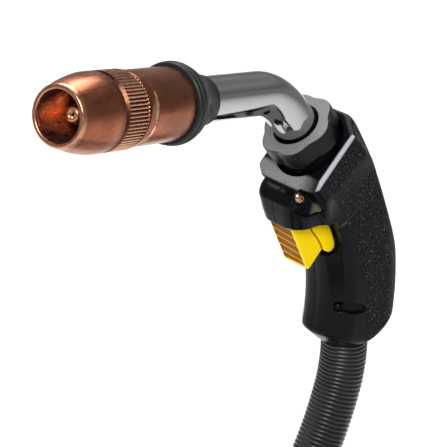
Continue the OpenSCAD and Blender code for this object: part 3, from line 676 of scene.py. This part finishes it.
def make_nozzle():
    at = (GUN[0], GUN[1] + GUN[0] @ np.array([0, 0, LIP_Z]))
    piece = lathe_piece("nozzle_shell", nozzle_outline(), "nozzle", "copper", at, ("nozzle",),
                        segments=KNURL_RIDGES * 8, shape=nozzle_shape, crease=50)
    x, y, z = local(at, *points_of(piece).T)
    r, a = np.hypot(x, y), np.arctan2(y, x) % (2 * math.pi)
    outside = r > 13.2
    # The lip gets a paler copper; the knurl's ridges get painted highlight.
    lip = (z > -1.3) * (r > MOUTH_R - 0.1) * 0.45
    ridges = knurl_wave(z, a) * (r > 14.5) * 0.85
    paint(piece, "pale_and_painted_light", np.maximum(lip, ridges))
    # Painted highlight along the groove's arcs.
    paint(piece, "painted_groove_highlight", groove_dip(z, a) * (r > 14))
    # Painted shade: the recesses beside the knurl, the knurl's valleys and the back of the bore are darkened.
    recess = (np.abs(z + KNURL_AT - 0.9) < 1.45) | (np.abs(z + KNURL_AT + KNURL_LEN + 0.9) < 0.9)
    recess = np.maximum(recess, 0.55 * (np.abs(z + KNURL_AT - 2.2) < 2.2))
    valley = (1 - knurl_wave(z, a)) * (z < -KNURL_AT) * (z > -KNURL_AT - KNURL_LEN) * 0.75
    bore = (r < 11.8) * np.clip((-z - 12) / 20, 0, 1) * 0.35
    paint(piece, "deep", np.maximum(np.maximum(recess * outside * 0.8, valley * outside), bore))
    # Painted light inside the mouth.
    paint(piece, "mouth", (r < np.interp(-z, [0, 4, 10, 60], [9.95, 11.2, 12.4, 13.1])) * (z < -1.4))
    return piece


def make_tip():
    outline = rounded([(0.7, -1), (1.5, 0), (2.7, 0), (3.5, -1.2), (4.0, -4), (4.0, -18.8),
                       (3.05, -18.8), (3.05, -27.3), (2.6, -27.8), (0.7, -27.8)],
                      [0.3, 0.4, 0.8, 1.5, 1, 0.3, 0.3, 0.3, 0.3, 0.2])
    at = (GUN[0], GUN[1] + GUN[0] @ np.array([0, 0, LIP_Z - TIP_DEEP]))
    return lathe_piece("tip_body", outline, "neck", "tip_copper", at, ("contact_tip",), 72)


def make_boot():
    """A cap that flares from the tube to a rolled rim behind the nozzle."""
    rim, sweep_to = NOZZLE_R + 1.2, math.radians(84)
    turn = np.linspace(0, sweep_to, 22)
    flare = 5.3 * (1 - np.cos(turn)) / (1 - math.cos(sweep_to))
    waist = np.column_stack([TUBE_R + 0.9 + flare, 2 + 14.7 * turn / sweep_to])
    toe = [(TUBE_R, 0.3), (TUBE_R + 0.4, 0), (TUBE_R + 0.9, 0.6), waist[0]]
    roll = [(-0.6, -6.3), (0, -5.2), (0, -2.9), (-0.55, -2.5), (-0.35, -1.8), (-0.4, -0.9), (-1.0, -0.5)]
    head = [waist[-1]] + [(rim + dr, BOOT_LEN + dz) for dr, dz in roll] + [(TUBE_R, BOOT_LEN - 0.5)]
    outline = np.vstack([rounded(toe, [0, 0.2, 0.4, 0], closed=False), waist[1:-1],
                         rounded(head, [0, 0.5, 0.7, 0.3, 0.2, 0.3, 0.3, 0.3, 0], closed=False)])
    at = (GUN[0], GUN[1] + GUN[0] @ np.array([0, 0, REACH]))
    return lathe_piece("boot_skin", outline, "neck", "boot_rubber", at, ("neck_boot",), crease=45)


make_nozzle()
make_tip()
make_boot()

# ---- Neck -----------------------------------------------------------------------------------
TUBE_WALL, TUBE_SIDES, TUBE_BELOW, TUBE_AHEAD = 1.2, 96, 49.5, LIP_Z - 50.5


def neck_line(below, ahead, step=1.0):
    """The gooseneck's middle line, in the gooseneck's frame."""
    low = [(0, 0, z) for z in np.arange(-below, RISER - 0.01, step * 3)]
    bend = [bend_point(a) for a in np.linspace(0, BEND, 43)]
    along = rot_y(-BEND) @ np.array([0, 0, 1])
    far = [bend[-1] + along * s for s in np.arange(step * 2, ahead, step * 3)] + [bend[-1] + along * ahead]
    return np.vstack([low, bend, far])


def make_neck():
    line, sides = neck_line(TUBE_BELOW, TUBE_AHEAD), TUBE_SIDES
    outer, faces_out = sweep(line, TUBE_R, sides, closed_ends=False)
    inner, faces_in = sweep(line, TUBE_R - TUBE_WALL, sides, closed_ends=False)
    n = len(outer)
    faces = [list(f) for f in faces_out] + [[n + i for i in f[::-1]] for f in faces_in]
    for start, flip in ((0, False), (n - sides, True)):
        for k in range(sides):
            q = [start + k, start + (k + 1) % sides, n + start + (k + 1) % sides, n + start + k]
            faces.append(q[::-1] if flip else q)
    return make_piece("neck_skin", np.vstack([outer, inner]), faces, "neck", "steel", GOOSE, ("neck_tube",))


NUT_LOBES, NUT_TURN, NUT_R, LOBE_HIGH, SKIRT_R, NUT_RIBS = 6, 12.0, 15.75, 1.75, 15.2, 66


def nut_field(x, y, z):
    r, a = np.hypot(x, y), np.arctan2(y, x)
    lobe = (0.5 + 0.5 * np.cos(NUT_LOBES * (a - math.radians(NUT_TURN)))) ** 0.75
    ribbed = np.clip(lobe * 3 - 2.0, 0, 1) * ease(-z, 0.8, 1.4) * ease(z, -8.5, -5.0)
    ribs = 0.16 * np.cos(a * NUT_RIBS) * ribbed
    side = (r - (NUT_R + LOBE_HIGH * lobe) + ribs) * 0.9
    head = smax(side, np.abs(z + 5.2) - 5.1, 0.7)
    skirt = smax(r - SKIRT_R, np.abs(z + 17) - 7, 0.5)
    round_tube = r - TUBE_R - 0.1
    mouth = (round_tube - (z + 1.4) * 0.9) * 0.75
    bore = np.minimum(smax(r - 12.6, z + 8, 0.2), np.minimum(round_tube, mouth))
    return smax(smin(head, skirt, 0.5), -bore, 0.25)


def make_nut():
    pts, faces = surface(nut_field, (-18.5, -18.5, -25), (18.5, 18.5, 1.0), 0.32)
    piece = make_piece("nut_body", pts, faces, "nut", "nut_plastic", GOOSE, ("neck_nut",), crease=40)
    r = np.hypot(pts[:, 0], pts[:, 1])
    # Painted light on the nut's top face.
    paint(piece, "pale_and_painted_light", ease(pts[:, 2], -0.45, -0.15) * ease(r, 11.0, 11.4))
    return piece


make_neck()
make_nut()

# ---- Handle ---------------------------------------------------------------------------------
GRIP_FRONT, GRIP_BACK, GRIP_HALF, GRIP_ROUND, WALL = 21.7, 22.7, 15.5, 13.0, 2.8
STRAIGHT, COLLAR_HALF, COLLAR_LOW, COLLAR_BORE, BORE_END = 22.5, 20.6, -46.0, 17.2, -26.0
END_Z, CUFF_TOP = -55.0, -44.0
HOOD_LOW, BAY_HALF = 14.5, 9.4
HOOD_Z, HOOD_X, HOOD_HALF = (14.5, 20, 27, 38), (-43, -44.4, -45.8, -45.8), (13.2, 14.2, 15, 15)
SCREWS = ((-38.5, 29.9, 9.0, 2.9), (-13.8, -31.5, 9.8, 1.9))
# Half the collar's plan where its walls end and where the bevelled rim ends, each on a sloping plane
COLLAR_FOOT = [(-21.2, 15.5), (-17.2, COLLAR_HALF), (11.5, COLLAR_HALF), (20.5, 8)]
COLLAR_TOP = [(-17.4, 12.5), (-14.4, 18.6), (10.6, 18.6), (19, 7.4)]
FOOT_Z, FOOT_SLOPE, TOP_Z, TOP_SLOPE = -15.4, 0.13, -13.9, 0.1
COLLAR_SIDE = [(-25, -60), (-25, 5), (19, 5), (20.2, -13), (22.8, -22.7), (24.8, -30), (24.8, -60)]
HOOD_SIDE = [(-48, HOOD_LOW), (-48, 28.2), (-45.4, 29.7), (-37.6, 33.4), (-26, 38), (-18, 30),
             (-18, HOOD_LOW)]
# Planes that trim the corners behind the collar: directions over x, |y| and z, and offsets
BACK_TRIMS = (((0.804, 0.43, 0.409), 23.8), ((0.811, 0.504, 0.294), 20.7))
BOSS_R, NUT_POCKET_R, SHANK_HOLE_R = 4.0, 2.45, 1.8
BAY_FRONT = [(-60, -5), (-60, HOOD_LOW), (-42.2, HOOD_LOW), (-42.2, 20), (-37.5, 25.5), (-30, 28), (-30, -5)]
BAY_REAR = [(-31, -5), (-31, 28), (-18, 28), (-11.8, 20), (-11.8, -5)]
EAR_SIDE = [(-21.4, -1.2), (-19.2, -2.7), (-17.2, -3.0), (-15.6, -1.6), (-15.4, 0.4), (-17.4, 6.5),
            (-20.1, 12.5), (-21.8, 15), (-31, 15), (-27.6, 9.6), (-24.4, 5.2), (-22.6, 1.8)]
# The upper scoop's outline, from its screw
MOON = [(-3.6, 3.0), (0.2, 3.4), (3.4, -1.0), (7.0, -6.4), (3.6, -7.0), (0, -6.7), (-3.4, -4.6)]


def grip_depth(x, z, nx, nz):
    """How far a point is in front of the grip's middle line."""
    return np.where(nz > -STRAIGHT, -nx, GRIP_R - np.hypot(x - ARC_X, z - ARC_Z))


def bevel_planes():
    """The rim's bevels for y >= 0, each as an outward normal and an offset in the neck frame."""
    foot = [np.array([x, y, FOOT_Z + FOOT_SLOPE * x]) for x, y in COLLAR_FOOT]
    top = [np.array([x, y, TOP_Z + TOP_SLOPE * x]) for x, y in COLLAR_TOP]
    planes = [(foot[0] * [1, 0, 1], foot[0], top[0])]
    planes += [(foot[k], foot[k + 1], (top[k] + top[k + 1]) / 2) for k in range(3)]
    planes.append((foot[3], foot[3] * [1, 0, 1], top[3]))
    out = []
    for a, b, c in planes:
        n = np.cross(b - a, c - a)
        n /= np.linalg.norm(n) * (1 if n[2] > 0 else -1)
        out.append((n, n.dot(a)))
    return out


RIM_PLANES = bevel_planes()


def rim_field(nx, ay, nz):
    """How far a point is above the collar's bevelled rim."""
    top = (nz - TOP_Z - TOP_SLOPE * nx) * 0.995
    for n, d in RIM_PLANES:
        top = smax(top, nx * n[0] + ay * n[1] + nz * n[2] - d, 0.35)
    return top


def outside_field(x, y, z):
    nx, _, nz = local(NECK, x, y, z)
    p, ay = grip_depth(x, z, nx, nz), np.abs(y)
    mid, half = (GRIP_FRONT - GRIP_BACK) / 2, (GRIP_FRONT + GRIP_BACK) / 2
    grip = box2(p - mid, y, half, GRIP_HALF, GRIP_ROUND)
    facet = (p - GRIP_FRONT + GRIP_ROUND) * 0.74 + (ay - GRIP_HALF + GRIP_ROUND) * 0.67 - (GRIP_ROUND - 0.5)
    grip = smax(grip, facet, 0.2)
    grip = smax(grip, END_Z - z, 1.2)
    grip = smax(grip, (np.hypot(x - 1, y) - 13.4 - (z - END_Z)) * 0.707, 1.5)
    plan = polygon2(nx, ay, [(COLLAR_FOOT[0][0], -30)] + COLLAR_FOOT + [(COLLAR_FOOT[3][0], -30)])
    half_y = np.interp(nz, [COLLAR_LOW, -40, BORE_END, 0], [14.5, 15.5, COLLAR_HALF, COLLAR_HALF])
    collar = smax(smax(plan, (ay - half_y) * 0.95, 1.5), COLLAR_LOW - nz, 1.0)
    body = smin(grip, collar, np.interp(nx, [0, 12], [5.0, 1.0]))
    for (a, b, c), reach in BACK_TRIMS:
        body = smax(body, a * x + b * ay + c * z - reach, 1.5)
    sides = np.minimum(polygon2(nx, nz, COLLAR_SIDE), nz + 32)
    body = smax(smax(body, rim_field(nx, ay, nz), 0.4), sides, 2.0)
    front, wide = np.interp(z, HOOD_Z, HOOD_X), np.interp(z, HOOD_Z, HOOD_HALF)
    hood = box2(x - front - 25, y, 25, wide, 9.0)
    hood = smax(hood, polygon2(x, z, HOOD_SIDE), np.interp(z, [16, 24], [1.2, 4.0]))
    return smin(body, hood, np.interp(nz, [-27, -21], [4.0, 0.8]))


def lens_axes(x, z):
    """Places along and across the lower scoop."""
    dx, dz = x - SCREWS[1][0] - 4.6, z - SCREWS[1][1] + 0.9
    return dx * 0.93 - dz * 0.36, dx * 0.36 + dz * 0.93


def hollow_field(x, y, z):
    nx, ny, nz = local(NECK, x, y, z)
    p = grip_depth(x, z, nx, nz)
    mid, half = (GRIP_FRONT - GRIP_BACK) / 2, (GRIP_FRONT + GRIP_BACK) / 2
    inner = smax(box2(p - mid, y, half - WALL, GRIP_HALF - WALL, GRIP_ROUND - WALL), CUFF_TOP - z, 0.5)
    inner = np.maximum(np.maximum(inner, nz + 25), outside_field(x, y, z) + 2)
    nr = np.hypot(nx, ny)
    bore = np.maximum(nr - COLLAR_BORE, BORE_END - nz)
    web = np.maximum(np.abs(nz + 42.5) - 1.5, 11.4 - nr)
    bay = np.minimum(np.maximum(polygon2(x, z, BAY_FRONT), np.abs(y) - BAY_HALF + 1.5),
                     np.maximum(polygon2(x, z, BAY_REAR), np.abs(y) - BAY_HALF))
    bay = np.minimum(bay, np.maximum(polygon2(x, z, EAR_SIDE) - 0.7, z - HOOD_LOW))
    cuff = np.maximum(np.hypot(x - 0.8, y) - SLEEVE_R - 0.4, z + 43)
    for sx, sz, _, _ in SCREWS:
        inner = np.maximum(inner, BOSS_R - np.hypot(x - sx, z - sz))
    along, across = lens_axes(x, z)
    inner = np.maximum(inner, np.minimum(9.6 - np.hypot(along - 1, across * 2.2), -9.2 - y))
    off = np.minimum(*[np.hypot(x - sx, z - sz) for sx, sz, _, _ in SCREWS])
    nuts = np.maximum(np.maximum(off - NUT_POCKET_R, np.abs(y - 3) - 4.0), outside_field(x, y, z) + 0.9)
    nuts = np.minimum(nuts, np.maximum(off - SHANK_HOLE_R, np.abs(y + 2.5) - 10.0))
    return np.minimum(np.minimum(np.minimum(np.minimum(np.maximum(inner, -web), bore), bay), cuff), nuts)


def pocket_field(x, y, z):
    """Seats round the two screw heads, each with a scoop that runs out to the surface."""
    (x1, z1, s1, r1), (x2, z2, s2, r2) = SCREWS
    seats = np.minimum(np.maximum(np.hypot(x - x1, z - z1) - r1 - 0.5, y + s1),
                       np.maximum(np.hypot(x - x2, z - z2) - r2 - 0.5, y + s2))
    dx, dz = x - x1, z - z1
    floor1 = (y + 9.6 + 0.55 * np.maximum(0.75 * dx - 0.66 * dz - 2.5, 0)) * 0.87
    scoop1 = smax(polygon2(dx, dz, MOON) - 1.2, floor1, 0.9)
    along, across = lens_axes(x, z)
    floor2 = (y + 10.8 + 0.22 * (along + 4)) * 0.97
    scoop2 = smax(np.hypot(along - 1.0, across * 3.0) - 8.0, floor2, 0.5)
    return np.minimum(np.minimum(seats, scoop1), scoop2)


def shell_field(side):
    def field(x, y, z):
        f = smax(outside_field(x, y, z), -hollow_field(x, y, z), 0.3)
        if side < 0:
            f = smax(f, -pocket_field(x, y, z), 0.35)
        return smax(f, 0.06 - side * y, 0.3)
    return field


def make_shell(side):
    lo = (-48.5, -22.5 if side < 0 else -1.0, END_Z - 1.5)
    hi = (26.5, 1.0 if side < 0 else 22.5, 66.0)
    pts, faces = surface(shell_field(side), lo, hi, 0.45)
    word = "left" if side < 0 else "right"
    piece = make_piece(f"handle_{word}_skin", pts, faces, "handle", "handle_plastic",
                       hides=(f"handle_{word}",), crease=60)
    x, y, z = pts.T
    nx, _, nz = local(NECK, x, y, z)
    p = grip_depth(x, z, nx, nz)
    line = np.interp(z, [-56, -5, 10, 24, 34, 60], [-1.0, 8.0, 9.0, 12.0, 15.0, 15.0])
    above = FOOT_Z + FOOT_SLOPE * nx
    skin = outside_field(x, y, z) > -0.5
    paint(piece, "grain", ease(line - p, -0.4, 0.6) * (1 - ease(nz, above - 1.2, above - 0.4)) * skin)
    bevel = ease(nz, above - 0.15, above + 0.25) * (np.hypot(nx, y) > COLLAR_BORE + 0.12) * skin
    bevel = bevel * (np.abs(rim_field(nx, np.abs(y), nz)) < 0.4)
    # Painted light on the collar's front bevel.
    paint(piece, "pale_and_painted_light", bevel * ease(-nx, 13.2, 15.5) * ease(y, -19.5, -7.0))
    paint(piece, "glint", (outside_field(x, y, z) < -1.2) * (y < -8.9) * (z > 20) * (nz < -18)
          * ease(x - 0.5 * z, -46.5, -44.0))
    # Painted highlight along the collar's near rim.
    paint(piece, "painted_rim_highlight", bevel * ease(-y, 18.4, 18.9) * (nx < 11.6))
    return piece


def make_handle_screws():
    """Round heads with six-lobed sockets, on plain shanks. The lower one is darkened with painted shade."""
    for k, (x, z, deep, head) in enumerate(SCREWS):
        end = -deep - 7.1
        shank = [(0.03, end), (1.1, end), (1.5, end + 0.4), (1.5, 0)]
        dome = [(head, 0), (head, 1.0), (0.72 * head, 1.95), (0.48 * head, 2.2)]
        hole = [(0.44 * head, 2.0), (0.44 * head, 1.0), (0.03, 1.0)]
        outline = rounded(shank + dome + hole, [0, 0.1, 0.1, 0.1, 0.2, 0.5, 0.5, 0.1, 0.1, 0.1, 0])
        socket = head * 0.5

        def lobes(r, z, a, socket=socket):
            return r * (1 - 0.22 * (0.5 + 0.5 * np.cos(6 * a)) * (r < socket) * (z > 0.5))
        at = (np.array([[1, 0, 0], [0, 0, -1], [0, 1, 0]]), np.array([x, -deep, z]))
        piece = lathe_piece(f"handle_screw_{k}", outline, "handle", "screw_brass", at,
                            ("handle_screws",), 72, shape=lobes, crease=30)
        # Painted shade on the lower screw.
        paint(piece, "painted_pocket_shade", np.full(len(points_of(piece)), float(k)))


def make_handle_nuts():
    """Hexagon nuts on the screws' ends, inside the right shell."""
    for k, (x, z, _, _) in enumerate(SCREWS):
        outline = rounded([(1.52, 0), (1.8, 0), (2.0, 0.2), (2.0, 2.2), (1.8, 2.4), (1.52, 2.4)], 0.08)
        at = (np.array([[1, 0, 0], [0, 0, 1], [0, -1, 0]]), np.array([x, 4.5, z]))
        lathe_piece(f"handle_nut_{k}", outline, "handle", "brass", at, ("handle_nuts",), 6, crease=20)


make_shell(-1)
make_shell(1)
make_handle_screws()
make_handle_nuts()

# ---- Trigger --------------------------------------------------------------------------------
PIVOT = (-27.0, 21.0)
TRIGGER_HALF, EAR_HALF = 7.5, 8.8
TRIGGER_SIDE = [(-41.8, 17), (-41.5, 15.2), (-31.6, -7.6), (-30.6, -8.6), (-29.4, -8.6), (-21.3, -0.6),
                (-19, 5), (-20, 14), (-22, 24), (-31, 25), (-38, 20)]
FACE_TOP, FACE_LOW = np.array([-41.5, 15.2]), np.array([-31.6, -7.6])
# The face's ribs, with how far they slant, and the spring's pocket: its radius and where it ends
RIB_PITCH, RIB_SLANT, RIB_HIGH = 4.9, 0.12, 0.75
POCKET_R, POCKET_END = 4.4, -25.0


def face_place(x, z):
    """How far a point is down the trigger's face and out from it."""
    along = (FACE_LOW - FACE_TOP) / np.linalg.norm(FACE_LOW - FACE_TOP)
    dx, dz = x - FACE_TOP[0], z - FACE_TOP[1]
    return dx * along[0] + dz * along[1], dx * along[1] - dz * along[0]


def near_rib(s, y, half):
    """1 on the middle of a rib, falling to 0 at half its width."""
    off = (s + RIB_SLANT * (y + 8)) % RIB_PITCH - RIB_PITCH / 2
    return np.clip(1 - np.abs(off) / half, 0, 1)


def trigger_field(x, y, z):
    ay = np.abs(y)
    body = smax(polygon2(x, z, TRIGGER_SIDE), ay - TRIGGER_HALF, 0.7)
    ear = smax(polygon2(x, z, EAR_SIDE) - 0.3, ay - EAR_HALF, 0.9)
    s, out = face_place(x, z)
    cut = np.maximum(ay - TRIGGER_HALF + 1.3, np.abs(s - 12.5) - 10.8)
    ribs = RIB_HIGH * (1 - near_rib(s, y, 0.75))
    body = smax(body, -smax(cut, -(out + ribs), 0.3), 0.25)
    f = smin(body, ear, 0.25)
    f = smax(f, 2.06 - np.hypot(x - PIVOT[0], z - PIVOT[1]), 0.1)
    return smax(f, -np.maximum(np.hypot(y, z - 1) - POCKET_R, POCKET_END - x), 0.15)


def make_trigger():
    pts, faces = surface(trigger_field, (-43.5, -9.8, -9.8), (-14.5, 9.8, 26.5), 0.3)
    piece = make_piece("trigger_body", pts, faces, "trigger", "trigger_yellow", hides=("trigger",), crease=45)
    x, y, z = pts.T
    s, out = face_place(x, z)
    # Painted shade over the trigger's front face.
    face = ease(out, -1.3, -1.0) * (np.abs(y) < TRIGGER_HALF - 0.35) * (z < HOOD_LOW + 2) * (s < 23.7)
    # Painted highlight along the ribs' tops.
    proud = near_rib(s, y, 0.9) * ease(out, -0.5, -0.1)
    paint(piece, "painted_face_shade", face)
    paint(piece, "rib", face * proud)
    # Painted highlight where the face meets the sides.
    paint(piece, "painted_edge_highlight", (np.abs(y) > TRIGGER_HALF - 0.35) * ease(out, -0.8, -0.3))
    # Painted shade along the groove between the blade and the ear.
    painted_groove_shade = np.abs(polygon2(x, z, EAR_SIDE) - 0.5) < 0.45
    paint(piece, "painted_groove_shade", painted_groove_shade * (np.abs(np.abs(y) - TRIGGER_HALF) < 0.6) * (x < -17.5))
    return piece


make_trigger()

# ---- Coil ties ------------------------------------------------------------------------------
TIE_HALF, TIE_TURNS = 6.8, (150, 250)


def make_ties():
    """Flat straps over the coil's turns."""
    deep, high, half = 3 * CABLE_D + 2.6, 2 * CABLE_D + 1.4, TIE_HALF
    for k, turn in enumerate(TIE_TURNS):
        over = [(-deep / 2, 0.2), (-deep / 2, high - 1), (deep / 2 - CABLE_D, high),
                (deep / 2, CABLE_D + 2.5), (deep / 2, 0.2)]
        outline = rounded(over, [0, 5, 9, 5, 0], steps=8, closed=False)
        inner = outline * [1 - 2.2 / deep, 1 - 1.1 / high]
        rows = []
        for y, cut in ((-half, 0.25), (-half + 0.5, 0), (half - 0.5, 0), (half, 0.25)):
            a, b = outline * (1 - cut * 0.01), inner * (1 + cut * 0.01)
            loop = np.vstack([a, b[::-1]])
            rows.append(np.column_stack([loop[:, 0], np.full(len(loop), y), loop[:, 1]]))
        n = len(rows[0])
        pts = np.vstack(rows)
        faces = [list(f) for f in grid_faces(4, n)] + [list(range(n))[::-1], list(range(3 * n, 4 * n))]
        mid = COIL_R - CABLE_D
        at = (rot_z(turn), np.array([COIL_X, COIL_Y, REST_Z]) + rot_z(turn) @ np.array([mid, 0, 0]))
        make_piece(f"tie_{k}", pts, faces, "handle", "tie_fabric", at, ("coil_ties",), crease=50)


make_ties()

# ---- Stage: pale floor and soft light ---------------------------------------------------------
# The sky's grey bands from the ground up, then the lamps: place, target, size and power
SKY_BANDS = ((0.0, 0.45), (0.10, 0.30), (0.26, 0.55), (0.42, 0.20), (0.60, 0.60), (0.75, 0.22), (0.90, 0.35),
             (1.0, 0.8))
SKY_STRENGTH = 0.62
MIDDLE = (-0.06, -0.01, 0.03)
LAMPS = (
    ("key", (-1.0, -0.85, 1.15), MIDDLE, (0.6, 0.6), 24),
    ("back", (0.4, 0.7, 1.1), MIDDLE, (0.8, 0.4), 4),
    ("floor_wash", (0.5, 0.7, 1.3), (0.35, 0.52, -0.22), (1.2, 1.2), 21),
)


def make_stage():
    size, drop = 6.0, (REST_Z - 0.2) * MM
    mesh = bpy.data.meshes.new("floor")
    corners = [(-size, -size, drop), (size, -size, drop), (size, size, drop), (-size, size, drop)]
    mesh.from_pydata(corners, [], [(0, 1, 2, 3)])
    floor = bpy.data.objects.new("floor", mesh)
    bpy.context.scene.collection.objects.link(floor)
    mesh.materials.append(Shader("floor_white", (0.93, 0.93, 0.93), 0.7).m)


def area_light(name, at, target, size, power):
    data = bpy.data.lights.new(name, "AREA")
    data.shape, data.size, data.size_y, data.energy = "RECTANGLE", size[0], size[1], power
    lamp = bpy.data.objects.new(name, data)
    bpy.context.scene.collection.objects.link(lamp)
    lamp.location = at
    lamp.rotation_euler = (Vector(target) - Vector(at)).to_track_quat("-Z", "Y").to_euler()


def make_lights():
    world = bpy.data.worlds.new("studio")
    world.use_nodes = True
    tree = world.node_tree
    coords = tree.nodes.new("ShaderNodeTexCoord")
    split = tree.nodes.new("ShaderNodeSeparateXYZ")
    ramp = tree.nodes.new("ShaderNodeValToRGB")
    tree.links.new(coords.outputs["Generated"], split.inputs["Vector"])
    tree.links.new(split.outputs["Z"], ramp.inputs["Fac"])
    tree.links.new(ramp.outputs["Color"], tree.nodes["Background"].inputs["Color"])
    while len(ramp.color_ramp.elements) < len(SKY_BANDS):
        ramp.color_ramp.elements.new(0.5)
    for element, (at, level) in zip(ramp.color_ramp.elements, SKY_BANDS):
        element.position, element.color = at, (level, level, level, 1)
    tree.nodes["Background"].inputs["Strength"].default_value = SKY_STRENGTH
    bpy.context.scene.world = world
    for name, at, target, size, power in LAMPS:
        area_light(name, at, target, size, power)
    bpy.context.scene.view_settings.view_transform = "Standard"


make_stage()
make_lights()
